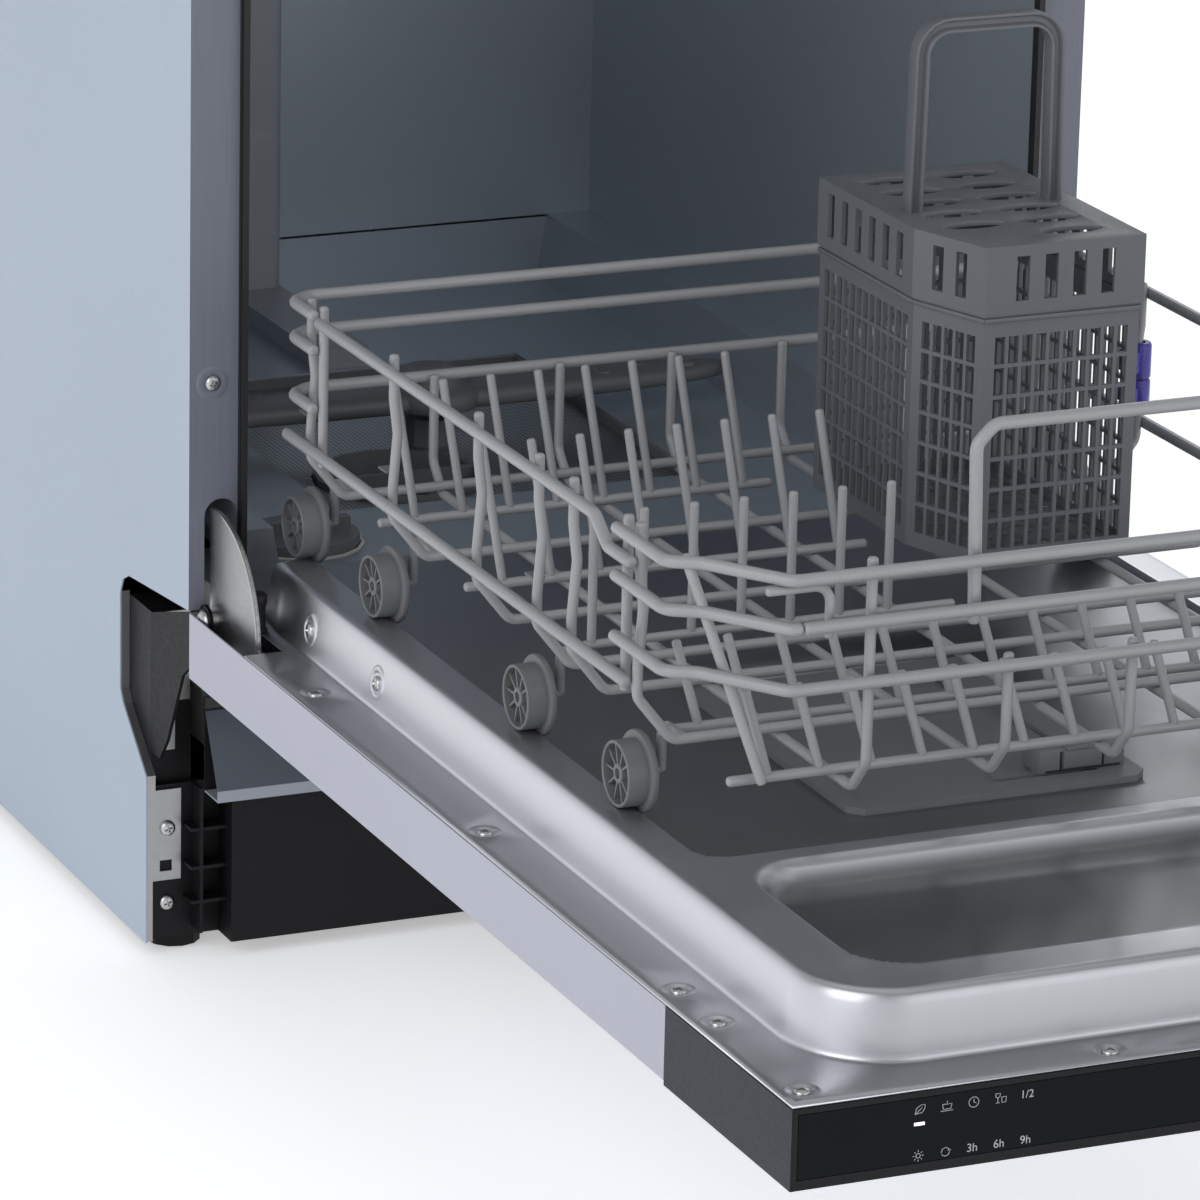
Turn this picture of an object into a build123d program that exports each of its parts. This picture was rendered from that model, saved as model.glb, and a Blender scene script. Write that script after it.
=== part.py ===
from build123d import *
import os
from math import cos, degrees, radians, sin

# Slim fully integrated dishwasher, door open flat and lower rack pulled out onto it.
# Millimetres. X is to the right, Y goes into the machine, Z is up from the floor.
# The parts are drawn with Y = 0 on the front plane of the cabinet and X = 0 on its
# middle, and are moved by ORIGIN_Y at the end, so that the origin lies on the floor
# under the middle of the open machine.

# Cabinet
WIDTH = 448
HEIGHT = 830
DEPTH = 535
SHEET = 0.8
HALF = WIDTH / 2
INNER = HALF - SHEET
FLANGE_IN = 200.5
PANEL_BOTTOM = 6.4
BASE_FRONT = 40
CORNER_Y = 56
BASE_TOP = 84
FLOOR_PLATE = 8

# Door, lying open: its inner flange is level, its outer face is underneath
DOOR_Z = 188
DOOR_BACK = -1
DOOR_FRONT = -647
SEAM_Y = -531
SKIN_Z = DOOR_Z - 32
CONSOLE_Z = DOOR_Z - 34
AXIS_Y = -9
AXIS_Z = DOOR_Z - 3
ORIGIN_Y = -(DOOR_FRONT + DEPTH) / 2

# Raised block of the door's stainless liner
BLOCK_HEIGHT = 27.5
BLOCK_HALF = 197
BLOCK_BACK = -17
BLOCK_FRONT = -620
BLOCK_CORNER = 42
BLOCK_LEAN = 4
LINER = 1.0
STRIP_IN = 174
STEP_DEPTH = 5.5
STEP_FRONT = -455
POOL_DEPTH = 13
POOL_Y = (-584, -472)
POOL_HALF = 160

# Tub
TUB_HALF = 198.5
TUB_BACK = 513
TUB_TOP = 806
TUB_FLOOR = 182
TUB_WALL = 1.2
RAIL_Z = DOOR_Z + BLOCK_HEIGHT
LEDGE_IN = 173.5
LEDGE_FRONT = 24
FLOOR_HALF = 168
ARM_Y = 255

# Hinge
ARM_X = 214
ARM_R = 52
HINGE_PIN_R = 4
HINGE_SLOT = (216.5, 52)
FLANGE_SCREWS = (DOOR_Z + 107, DOOR_Z + 330, DOOR_Z + 560)
SCREW_X = 213

# Lower rack, heights are above the door's inner flange
WIRE = 5.5
THIN = 4.5
TINE = 4.0
RACK_SIDE = 188
RIM_Z = DOOR_Z + 150
LOW_Z = DOOR_Z + 89
FRONT_Z = (DOOR_Z + 152.7, DOOR_Z + 132.7, DOOR_Z + 107.2)
RACK_FRONT = -490
RACK_REAR = -28
CROSS_Z = DOOR_Z + 62
CROSS_YS = (-46, -144, -239, -304, -340, -407)
WHEEL_YS = (-21, -116, -280, -384.5)
WHEEL_R = 14
WHEEL_FLANGE_R = 17.5
WHEEL_Z = RAIL_Z + WHEEL_R + 0.3
WHEEL_OUT = 182
WHEEL_TREAD = 9.4
AXLE_R = 2.0
RAIL_HALF = 150
RAIL_STEP = 0.5
TINE_PITCH = 23

# Cutlery basket
BASKET_X = (35, 128)
BASKET_Y = (-247, -109)
BASKET_Z = (DOOR_Z + 64.8, DOOR_Z + 209)
BASKET_CUT = (15, 41)
BASKET_WALL = 2.2

# Upper rack, in its raised position
UP_FLOOR = DOOR_Z + 464
UP_RIM = UP_FLOOR + 108
UP_HALF = 176
UP_Y = (30, 482)
UP_RAIL_Z = UP_FLOOR + 45
ROLLER_R = 7.6
ROLLER_Y = 46


def box(x0, x1, y0, y1, z0, z1):
    """A plain block between two corners."""
    return Pos((x0 + x1) / 2, (y0 + y1) / 2, (z0 + z1) / 2) * Box(abs(x1 - x0), abs(y1 - y0), abs(z1 - z0))


def rod(a, b, diameter):
    """A straight round bar from a to b."""
    a, b = Vector(*a), Vector(*b)
    return Solid.make_cylinder(diameter / 2, (b - a).length, Plane(origin=a, z_dir=b - a))


def bar(a, b, diameter, sides=4):
    """A straight bar from a to b with a few flat sides."""
    a, b = Vector(*a), Vector(*b)
    return extrude(Plane(origin=a, z_dir=b - a) * RegularPolygon(diameter / 2, sides), (b - a).length)


def bent_wire(points, diameter, sides=4):
    """A wire along straight runs, with mitred turns."""
    path = Polyline(*points)
    section = Plane(origin=path @ 0, z_dir=path % 0) * RegularPolygon(diameter / 2, sides)
    return sweep(section, path=path, transition=Transition.RIGHT)


def flip(shape):
    """The same piece on the other side of the machine."""
    return mirror(shape, about=Plane.YZ)


def pair(shape):
    return [shape, flip(shape)]


def plate_yz(points, x, thickness):
    """A flat plate standing along the machine's depth, its outline given as (y, z)."""
    plane = Plane(origin=(x, 0, 0), x_dir=(0, 1, 0), z_dir=(1, 0, 0))
    return extrude(plane * make_face(Polyline(*points, close=True)), thickness)


def column(x, y, z0, z1, radius):
    return rod((x, y, z0), (x, y, z1), 2 * radius)


def cross_rod(x0, x1, y, z, radius):
    """A cylinder lying along X."""
    return rod((min(x0, x1), y, z), (max(x0, x1), y, z), 2 * radius)


def depth_rod(x, y0, y1, z, radius):
    """A cylinder lying along Y."""
    return rod((x, y0, z), (x, y1, z), 2 * radius)


# Cabinet


CUT_BACK = ((91.6, DOOR_Z - 18), (91.6, DOOR_Z - 66), (87.5, DOOR_Z - 72), (CORNER_Y, DOOR_Z - 98.5))


def side_panel():
    """Painted steel side, cut back at the front foot, with folded front and rear edges."""
    outline = [
        (0, HEIGHT), (0, DOOR_Z), (80, DOOR_Z - 7), (88, DOOR_Z - 11), *CUT_BACK,
        (CORNER_Y, PANEL_BOTTOM), (DEPTH, PANEL_BOTTOM), (DEPTH, HEIGHT),
    ]
    panel = plate_yz(outline, -HALF, SHEET)
    front = box(-HALF, -FLANGE_IN, 0, SHEET, DOOR_Z, HEIGHT)
    slot_x, slot_h = HINGE_SLOT
    slot_r = (slot_x - FLANGE_IN) / 2
    front -= box(-slot_x, -FLANGE_IN + 1, -1, 2, DOOR_Z - 1, DOOR_Z + slot_h - slot_r)
    front -= depth_rod(-slot_x + slot_r, -1, 2, DOOR_Z + slot_h - slot_r, slot_r)
    for z in FLANGE_SCREWS:
        front -= bar((-SCREW_X, -1, z), (-SCREW_X, 2, z), 4.6)
    rear = box(-HALF, -HALF + 14, DEPTH - SHEET, DEPTH, PANEL_BOTTOM, HEIGHT)
    return panel + front + rear


def left_side_panel():
    return side_panel()


def right_side_panel():
    return flip(side_panel())


def rear_panel():
    """Sheet across the back, pressed with two stiffening swages."""
    y = DEPTH - 2 * SHEET
    panel = box(-INNER, INNER, y, y + SHEET, BASE_TOP + 2, HEIGHT - 22)
    for x in (-110, 110):
        panel += box(x - 30, x + 30, y - 4, y + 0.1, 160, 740)
        panel -= box(x - 29, x + 29, y - 3.2, y + SHEET + 1, 161, 739)
    return panel


COVER_LOW = HEIGHT - 20


def top_cover():
    """Top brace: a shallow tray that ties the two sides together."""
    high = HEIGHT - 1
    back = DEPTH - SHEET
    cover = box(-INNER, INNER, SHEET, back, COVER_LOW, high)
    cover -= box(-INNER + 1, INNER - 1, SHEET + 1, back - 1, COVER_LOW - 1, high - 1)
    for y in (150, 300, 420):
        cover += box(-INNER + 0.5, INNER - 0.5, y, y + 1, COVER_LOW + 6, high - 0.5)
    return cover


BRACKET_X = 170
BRACKET_HOLE_Y = 14
BRACKET_HOLE_R = 2.5


def worktop_brackets():
    """Two steel tabs on top at the front, each with a hole for a screw up into the worktop."""
    tab = box(-BRACKET_X - 14, -BRACKET_X + 14, 2, 34, HEIGHT - 1, HEIGHT)
    tab -= column(-BRACKET_X, BRACKET_HOLE_Y, HEIGHT - 3, HEIGHT + 2, BRACKET_HOLE_R)
    return pair(tab)


SUMP_X = 96
SUMP_Y = (140, 372)
SALT = (-130, 100)


TUB_BEND = 26
LEDGE_LOW = RAIL_Z - TUB_WALL
FLOOR_LOW = TUB_FLOOR - TUB_WALL
TUB_REAR = TUB_BACK + TUB_WALL
SIDE_OUT = TUB_HALF + TUB_WALL


def lengthwise(outline, y0, y1):
    """A bar along the machine's depth, its section given as (x, z) points."""
    plane = Plane(origin=(0, y0, 0), x_dir=(1, 0, 0), z_dir=(0, -1, 0))
    return extrude(plane * make_face(Polyline(*outline, close=True)), y0 - y1)


def tub_bend(y0, y1):
    """Quarter-round sheet between the right wall and the ceiling."""
    middle = Pos(SIDE_OUT - TUB_BEND - TUB_WALL, TUB_TOP - TUB_BEND)
    ring = middle * (Circle(TUB_BEND + TUB_WALL) - Circle(TUB_BEND))
    corner = middle * Pos(TUB_BEND, TUB_BEND) * Rectangle(2 * TUB_BEND, 2 * TUB_BEND)
    plane = Plane(origin=(0, y0, 0), x_dir=(1, 0, 0), z_dir=(0, -1, 0))
    return extrude(plane * (ring & corner), y0 - y1)


def tub_walls():
    """Wrapper of the tub: sides, ceiling and the bends between them, with the rear wall."""
    bend_x, bend_z = TUB_HALF - TUB_BEND, TUB_TOP - TUB_BEND
    sheets = pair(box(TUB_HALF, SIDE_OUT, SHEET, TUB_REAR, LEDGE_LOW, bend_z))
    sheets += pair(box(TUB_HALF, SIDE_OUT, SHEET, LEDGE_FRONT, FLOOR_LOW, LEDGE_LOW))
    sheets += pair(tub_bend(SHEET, TUB_REAR))
    sheets.append(box(-bend_x, bend_x, SHEET, TUB_REAR, TUB_TOP, TUB_TOP + TUB_WALL))
    sheets.append(box(-TUB_HALF, TUB_HALF, TUB_BACK, TUB_REAR, RAIL_Z, bend_z))
    sheets.append(box(-bend_x, bend_x, TUB_BACK, TUB_REAR, bend_z, TUB_TOP))
    slope = [(FLOOR_HALF, TUB_FLOOR), (LEDGE_IN, LEDGE_LOW), (-LEDGE_IN, LEDGE_LOW), (-FLOOR_HALF, TUB_FLOOR)]
    sheets.append(lengthwise(slope, TUB_BACK, TUB_REAR))
    for y0, y1, z0, z1 in ((TUB_BACK, TUB_REAR, bend_z, TUB_TOP), (SHEET, 2, bend_z, TUB_TOP)):
        corner = box(bend_x, SIDE_OUT, y0, y1, z0, z1)
        corner -= depth_rod(bend_x, y0 - 1, y1 + 1, z0, TUB_BEND + TUB_WALL)
        quarter = depth_rod(bend_x, y0, y1, z0, TUB_BEND) & box(bend_x, SIDE_OUT, y0, y1, z0, z1)
        sheets += pair(quarter if y0 > SHEET else corner)
    return sheets


def tub_floor():
    """Wheel ledges, the slopes under them, the floor round the sump, and the pocket at the sill."""
    slope = [
        (FLOOR_HALF, TUB_FLOOR), (LEDGE_IN, LEDGE_LOW), (LEDGE_IN + TUB_WALL, LEDGE_LOW),
        (FLOOR_HALF + TUB_WALL, FLOOR_LOW),
    ]
    web = [
        (FLOOR_HALF + TUB_WALL, FLOOR_LOW), (LEDGE_IN + TUB_WALL, LEDGE_LOW),
        (SIDE_OUT, LEDGE_LOW), (SIDE_OUT, FLOOR_LOW),
    ]
    sheets = pair(box(LEDGE_IN, TUB_HALF, LEDGE_FRONT, TUB_REAR, LEDGE_LOW, RAIL_Z))
    sheets += pair(lengthwise(slope, LEDGE_FRONT, TUB_REAR))
    sheets += pair(lengthwise(web, LEDGE_FRONT, LEDGE_FRONT + TUB_WALL))
    near, far = SUMP_Y
    fields = [
        (-TUB_HALF, TUB_HALF, SHEET, LEDGE_FRONT), (-90, FLOOR_HALF, LEDGE_FRONT, near),
        (-FLOOR_HALF, -SUMP_X, near, far), (SUMP_X, FLOOR_HALF, near, far),
        (-FLOOR_HALF, FLOOR_HALF, far, TUB_REAR),
    ]
    sheets += [box(*field, FLOOR_LOW, TUB_FLOOR) for field in fields]
    softener_field = box(-FLOOR_HALF, -90, LEDGE_FRONT, near, FLOOR_LOW, TUB_FLOOR)
    return sheets + [softener_field - bar((*SALT, TUB_FLOOR - 5), (*SALT, TUB_FLOOR + 1), 62.4, 16)]


def tub():
    """Stainless tub of welded sheets, with its front flange, side swages and roller pins."""
    sheets = tub_walls() + tub_floor()
    strip = box(SIDE_OUT, 218, SHEET, 2, DOOR_Z + HINGE_SLOT[1], TUB_TOP + 3)
    for z in FLANGE_SCREWS:
        strip -= bar((SCREW_X, 0, z), (SCREW_X, 5, z), 4.6)
    sheets += pair(strip)
    sheets.append(box(-SIDE_OUT, SIDE_OUT, SHEET, 2, 158, FLOOR_LOW))
    sheets.append(box(-SIDE_OUT, SIDE_OUT, SHEET, 2, TUB_TOP + TUB_WALL, TUB_TOP + 3))
    sheets += pair(cross_rod(187, TUB_HALF, ROLLER_Y, UP_RAIL_Z, 2.5))
    swage = box(TUB_HALF - 4, TUB_HALF, 60, 500, 470, 486)
    swage -= box(TUB_HALF - 2.8, TUB_HALF + 1, 61.2, 498.8, 471.2, 484.8)
    return sheets + pair(swage)


def door_gasket():
    """Rubber seal round the two sides and the top of the tub opening."""
    out_x, in_x = FLANGE_IN - 0.1, 197.6
    low, high = DOOR_Z + 3, TUB_TOP + 2
    ring = box(-out_x, out_x, -5, SHEET, low, high) - box(-in_x, in_x, -6, 2, low - 1, high - 9)
    groove = box(-out_x - 1, out_x + 1, -3.6, -2, low - 1, high + 1)
    groove -= box(-out_x + 0.9, out_x - 0.9, -4, 0, low - 2, high - 0.9)
    return ring - groove


BRACKET_SCREW = (-206, DOOR_Z - 45.5)


def hinge_brackets():
    """Steel plates that carry the door: a screwed foot, a forward arm and the pivot pin."""
    foot = [(50, 100), (62, 100), (62, 168)]
    arm = [(0, 187), (-14, 187), (-17, 184), (-17, 177), (20, 150), (40, 112)]
    bracket = plate_yz(foot + arm, -219.6, 1.6)
    bracket += box(-219.6, -200.5, 60.4, 62, 100, 168)
    bracket -= box(-208, -199, 59, 63, 99, 124)
    x, z = BRACKET_SCREW
    bracket -= bar((x, 59, z), (x, 63, z), 4.6)
    bracket += box(-218.5, -200.5, 58.9, 60.6, 150, 152) + box(-218.5, -208, 58.9, 60.6, 131, 133)
    bracket += bar((-219.6, AXIS_Y, AXIS_Z), (-218, AXIS_Y, AXIS_Z), 16, 12)
    bracket += cross_rod(-218.2, -212.4, AXIS_Y, AXIS_Z, HINGE_PIN_R)
    return pair(bracket)


STRAP_SCREWS = ((-213.3, 63), (-213.1, 25.5))


def corner_brackets():
    """Steel straps at the front lower corners, with a slot, and the panel's slanted hem."""
    strap = box(-INNER, -206.5, CORNER_Y, CORNER_Y + 1, 37, 82)
    strap += box(-INNER, -220.5, CORNER_Y, CORNER_Y + 1, 7, 38)
    x, z = STRAP_SCREWS[0]
    strap -= bar((x, 50, z), (x, 60, z), 4.6)
    strap -= box(-217, -211, 50, 60, 41.5, 47)
    inner = [(y + 1.4, z - 0.6) for y, z in reversed(CUT_BACK[:3])]
    hem = [*CUT_BACK, (CORNER_Y, 81), (CORNER_Y + 1, 81), (CORNER_Y + 1, DOOR_Z - 99.4), *inner]
    hem = plate_yz(hem, -INNER, 4)
    return pair(strap + hem)


def pan_screw(x, y, z, reach):
    """Pan-head screw facing the front."""
    return bar((x, y - 2.4, z), (x, y, z), 7.6) + bar((x, y - 0.1, z), (x, y + reach, z), 3.8, 4)


def cabinet_screws():
    screws = []
    for z in FLANGE_SCREWS:
        screws += pair(pan_screw(-SCREW_X, 0, z, 2))
    (x0, z0), (x1, z1) = STRAP_SCREWS
    screws += pair(pan_screw(x0, CORNER_Y, z0, 4))
    screws += pair(pan_screw(x1, CORNER_Y + 1.4, z1, 3))
    x, z = BRACKET_SCREW
    screws += pair(pan_screw(x, 60.4, z, 5))
    return screws


RIB_ZS = (27, 44, 63)
FEET = ((-203, 76), (203, 76), (-200, 488), (200, 488))
FOOT_R = 13
STUD_R = 5
SPRING_X, SPRING_Z = 212, 104
VALVE = (168, 48)


def base_tray():
    """Moulded base: tray with a set-back front, ribbed corners and bosses for the feet."""
    wall = 3
    side_y = CORNER_Y + 1.4
    back = DEPTH - 6
    outline = [
        (-187, BASE_FRONT), (187, BASE_FRONT), (187, side_y), (222.5, side_y),
        (222.5, back), (-222.5, back), (-222.5, side_y), (-187, side_y),
    ]
    face = make_face(Polyline(*outline, close=True))
    tray = Pos(0, 0, FLOOR_PLATE) * extrude(face, BASE_TOP - FLOOR_PLATE)
    tray -= Pos(0, 0, FLOOR_PLATE + wall) * extrude(offset(face, -wall, kind=Kind.INTERSECTION), BASE_TOP)
    for side in (-1, 1):
        for z in RIB_ZS:
            tray += box(side * 187, side * 205, 46, side_y + 1, z, z + 1.6)
        tray += box(side * 199, side * 200.6, 46, side_y + 1, 12, BASE_TOP)
        for x, z in STRAP_SCREWS:
            tray -= bar((side * abs(x), 50, z), (side * abs(x), 61, z), 4.6)
        tray += box(side * 199.5, side * 222.5, 66, 92, BASE_TOP - 5, BASE_TOP - 2)
        tray += box(side * 199.5, side * 219, 62, 92, BASE_TOP - 2, 168)
        tray -= box(side * 202.5, side * 216, 65, 100, BASE_TOP - 3, 165)
        x, z = BRACKET_SCREW
        tray -= bar((side * abs(x), 60, z), (side * abs(x), 70, z), 4.6)
        tray -= bar((side * SPRING_X, 50, SPRING_Z), (side * SPRING_X, 70, SPRING_Z), 6)
        tray += box(side * (SPRING_X - 5), side * 222.5, 345, 351, BASE_TOP - 30, SPRING_Z + 8)
    for x, y in FEET:
        tray += bar((x, y, FLOOR_PLATE), (x, y, 60), 22, 8)
        tray -= bar((x, y, 0), (x, y, 70), 2 * STUD_R + 0.4)
    x, z = VALVE
    tray -= bar((x, back - 6, z), (x, back + 1, z), 30, 12)
    for x in (-120, -40, 40, 120):
        tray += box(x - 1, x + 1, BASE_FRONT + 1, back - 1, FLOOR_PLATE + 1, FLOOR_PLATE + 14)
    return tray


def levelling_feet():
    """Round pads on threaded studs, screwed right in."""
    feet = []
    for x, y in FEET:
        pad = bar((x, y, 0), (x, y, FLOOR_PLATE), 2 * FOOT_R, 12)
        feet.append(pad + bar((x, y, 7), (x, y, 64), 2 * STUD_R))
    return feet


def kick_panel():
    """Sloped sheet under the door with a short upright lip, and its black backing wall."""
    lip = BASE_TOP + 5.4
    outline = [(47, 134), (46.2, 133), (24.2, lip), (24.2, BASE_TOP), (25, BASE_TOP), (25, lip)]
    slope = plate_yz(outline, -200, 400)
    back = box(-200, 200, 42, 43, BASE_TOP, 130)
    web = box(-200, 200, 24.6, 43, BASE_TOP, BASE_TOP + SHEET)
    return slope + back + web


CUP = (-40, 200)
POST_R = 6
WELL_BOTTOM = 100
PORT_Z = 125


def well_bar(z0, z1, radius):
    """A many-sided drum standing in the filter well."""
    return bar((*CUP, z0), (*CUP, z1), 2 * radius, 16)


def sump():
    """Plastic sump under the tub floor: shallow tray, filter well and spray-arm post."""
    top = TUB_FLOOR - TUB_WALL
    tray = box(-SUMP_X - 8, SUMP_X + 8, SUMP_Y[0] - 8, SUMP_Y[1] + 8, 165, top)
    tray -= box(-SUMP_X + 2, SUMP_X - 2, SUMP_Y[0] + 2, SUMP_Y[1] - 2, 168, 200)
    tray -= well_bar(160, 170, 52)
    well = well_bar(WELL_BOTTOM, 168, 52)
    well += bar((-104, 205, PORT_Z), (-60, 205, PORT_Z), 22, 12)
    well += bar((-20, 201, PORT_Z), (24, 201, PORT_Z), 30, 12)
    well -= well_bar(WELL_BOTTOM + 4, 210, 48.5)
    post = bar((0, ARM_Y, 168), (0, ARM_Y, 190), 26, 12) - well_bar(160, 200, 52)
    return [tray, well, post + column(0, ARM_Y, 188, 206, POST_R)]


def filter_plate():
    """Stainless fine filter sheet lying in the sump tray, open at the well and the post."""
    plate = box(-SUMP_X + 2, SUMP_X - 2, SUMP_Y[0] + 2, SUMP_Y[1] - 2, 175, 176)
    plate += well_bar(170, 176, 44.4)
    plate -= well_bar(168, 180, 42.8)
    return plate - bar((0, ARM_Y, 168), (0, ARM_Y, 180), 28, 12)


def filter_cup():
    """Cylindrical micro filter with a grip, turned to unlock and lifted out."""
    x, y = CUP
    cup = well_bar(112, 179, 41.6) - well_bar(114, 190, 39.6)
    cup -= bar((0, ARM_Y, 100), (0, ARM_Y, 200), 31, 12)
    for turn in range(6):
        a = radians(turn * 60 + 30)
        cup -= Pos(x + 41 * cos(a), y + 41 * sin(a), 143) * Rot(0, 0, degrees(a)) * Box(8, 20, 46)
    grip = box(x - 40.2, x + 40.2, y - 2, y + 2, 150, 179) - box(x - 16, x + 16, y - 5, y + 5, 158, 170)
    return cup + grip


def salt_cap():
    """Screw cap of the salt container, standing in the tub floor."""
    x, y = SALT
    return bar((x, y, 176), (x, y, 187), 56, 16) + box(x - 24, x + 24, y - 3, y + 3, 186, 193)


def water_softener():
    """Resin and salt container hanging under the tub floor."""
    x, y = SALT
    body = box(-185, -72, 66, 130, 92, 174) + bar((x, y, 170), (x, y, TUB_FLOOR - TUB_WALL), 72, 16)
    body += bar((x, y, 172), (x, y, TUB_FLOOR + 0.6), 61.2, 16)
    return body - bar((x, y, 140), (x, y, 200), 57.6, 16)


def circulation_pump():
    """Wash pump: inlet neck, round volute and motor can, lying in the base."""
    pump = bar((95, 180, PORT_Z), (95, 222, PORT_Z), 72, 16)
    pump += bar((95, 221, PORT_Z), (95, 330, PORT_Z), 60, 16)
    return pump + bar((24, 201, PORT_Z), (70, 201, PORT_Z), 30, 12)


def drain_pump():
    """Drain pump on the left of the sump well."""
    motor = bar((-160, 205, PORT_Z), (-118, 205, PORT_Z), 44, 16)
    return motor + bar((-119, 205, PORT_Z), (-104, 205, PORT_Z), 22, 12)


def inlet_valve():
    """Water inlet valve at the back of the base, with its threaded hose spigot."""
    x, z = VALVE
    valve = box(x - 18, x + 18, 480, 522, FLOOR_PLATE + 3, z + 18)
    valve += bar((x, 520, z), (x, DEPTH - 0.2, z), 26.4, 12)
    return valve - bar((x, 524, z), (x, DEPTH + 1, z), 18, 12)


def side_water_tank():
    """Flat water reservoir between the tub and the left side panel."""
    outline = [(60, 345), (75, 330), (405, 330), (420, 345), (420, 685), (405, 700), (200, 700), (60, 560)]
    return plate_yz(outline, -INNER, 20)


def door_springs():
    """Counterbalance springs lying along the base sides, drawn as closed coils."""
    x, z = -SPRING_X, SPRING_Z
    spring = bar((x, 150, z), (x, 320, z), 13, 12) + bar((x, 62, z), (x, 155, z), 4)
    return pair(spring + bar((x, 315, z), (x, 345, z), 4))


def supply_tube():
    """Flat riser on the tub's rear wall feeding the upper arm and the ceiling jet."""
    riser = box(-15, 15, 499, TUB_BACK, TUB_FLOOR, 785)
    riser = fillet(riser.edges().filter_by(Axis.Z).sort_by(Axis.Y)[:2], 6)
    foot = box(-15, 15, SUMP_Y[1] + 2, 505, TUB_FLOOR, TUB_FLOOR + 10)
    riser += box(-9, 9, 499, TUB_BACK - 1, 780, TUB_TOP)
    return riser + foot + box(-9, 9, 262, 505, TUB_TOP - 12, TUB_TOP)


def ceiling_sprayer():
    """Round jet fixed under the tub ceiling."""
    y = ARM_Y - 14
    jet = bar((0, y, TUB_TOP - 20), (0, y, TUB_TOP), 40, 16)
    jet += bar((0, y, TUB_TOP - 26), (0, y, TUB_TOP - 19), 24, 12)
    return jet - box(-9.2, 9.2, 261.8, 300, TUB_TOP - 13, TUB_TOP + 1)


def spray_blade(z0, z1, radius, hub_r):
    """Two-bladed arm with a rounded tip on each blade."""
    plan = Rectangle(2 * radius, 34)
    plan = chamfer(plan.vertices(), 10) + RegularPolygon(hub_r, 16)
    arm = Pos(0, ARM_Y, z0) * extrude(plan, z1 - z0)
    for x in (-140, -95, 70, 115):
        arm -= Pos(x, ARM_Y + 4, z1) * Box(8, 3, 3)
    return arm


def lower_spray_arm():
    arm = spray_blade(194, 206, 162, 26) + bar((0, ARM_Y, 205), (0, ARM_Y, 214), 32, 16)
    return arm - column(0, ARM_Y, 190, 207, POST_R + 0.08)


# Door

PANEL_HOLE_X, PANEL_HOLE_Y = 150, -430
PANEL_HOLE_R = 2.5


def door_outer_skin():
    """Painted pan: outer face with furniture-panel holes, folded sides and bottom edge."""
    skin = box(-HALF, HALF, SEAM_Y + 0.2, DOOR_BACK, SKIN_Z, DOOR_Z - LINER)
    skin -= box(-INNER, INNER, SEAM_Y - 1, DOOR_BACK - SHEET, SKIN_Z + SHEET, DOOR_Z + 5)
    for side in (-1, 1):
        skin -= box(side * 203, side * INNER, -3, 1, SKIN_Z + SHEET, DOOR_Z + 5)
    for x in (-PANEL_HOLE_X, PANEL_HOLE_X):
        skin -= column(x, PANEL_HOLE_Y, SKIN_Z - 2, SKIN_Z + 3, PANEL_HOLE_R)
    return skin


def block_plan(inset, z):
    """The block's plan at one height, with its two large front corners."""
    plan = Rectangle(2 * (BLOCK_HALF - inset), BLOCK_BACK - BLOCK_FRONT - 2 * inset)
    plan = fillet(plan.vertices().sort_by(Axis.Y)[:2], BLOCK_CORNER - inset)
    return Pos(0, (BLOCK_BACK + BLOCK_FRONT) / 2, z) * plan


def liner_block():
    """The liner's raised block: leaning sides, rolled rim, stepped middle and front pool."""
    block = loft([
        block_plan(0, DOOR_Z - LINER), block_plan(BLOCK_LEAN - 0.7, RAIL_Z - 4.5),
        block_plan(BLOCK_LEAN + 0.6, RAIL_Z - 1.3), block_plan(BLOCK_LEAN + 4, RAIL_Z),
    ], ruled=True)
    block -= box(-STRIP_IN, STRIP_IN, STEP_FRONT, 0, RAIL_Z - STEP_DEPTH, RAIL_Z + 5)
    middle, length = sum(POOL_Y) / 2, POOL_Y[1] - POOL_Y[0]
    low = Pos(0, middle, RAIL_Z - POOL_DEPTH) * RectangleRounded(2 * POOL_HALF, length, 22)
    high = Pos(0, middle, RAIL_Z + 1) * RectangleRounded(2 * POOL_HALF + 12, length + 12, 28)
    return block - loft([low, high], ruled=True)


def liner_hollow():
    """The space under the block."""
    length = BLOCK_BACK - BLOCK_FRONT
    foot = Rectangle(2 * BLOCK_HALF - 3, length - 3)
    head = Rectangle(2 * BLOCK_HALF - 13, length - 13)
    foot = chamfer(foot.vertices().sort_by(Axis.Y)[:2], 27)
    head = chamfer(head.vertices().sort_by(Axis.Y)[:2], 27)
    middle = Pos(0, (BLOCK_BACK + BLOCK_FRONT) / 2)
    hollow = loft([middle * Pos(0, 0, DOOR_Z - LINER - 1) * foot, middle * Pos(0, 0, RAIL_Z - LINER) * head])
    hollow -= box(-STRIP_IN - 1, STRIP_IN + 1, STEP_FRONT - 1, 0, RAIL_Z - STEP_DEPTH - LINER, RAIL_Z + 5)
    around = (-POOL_HALF - 10, POOL_HALF + 10, POOL_Y[0] - 9, POOL_Y[1] + 9)
    return hollow - box(*around, RAIL_Z - POOL_DEPTH - LINER, RAIL_Z + 5)


DISPENSER = (-85, 45, -412, -252)
DIMPLE_YS = (-130, -323, -519, -556, -632)
LATCH_SLOT = (-18, 18, -640, -622)


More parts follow.
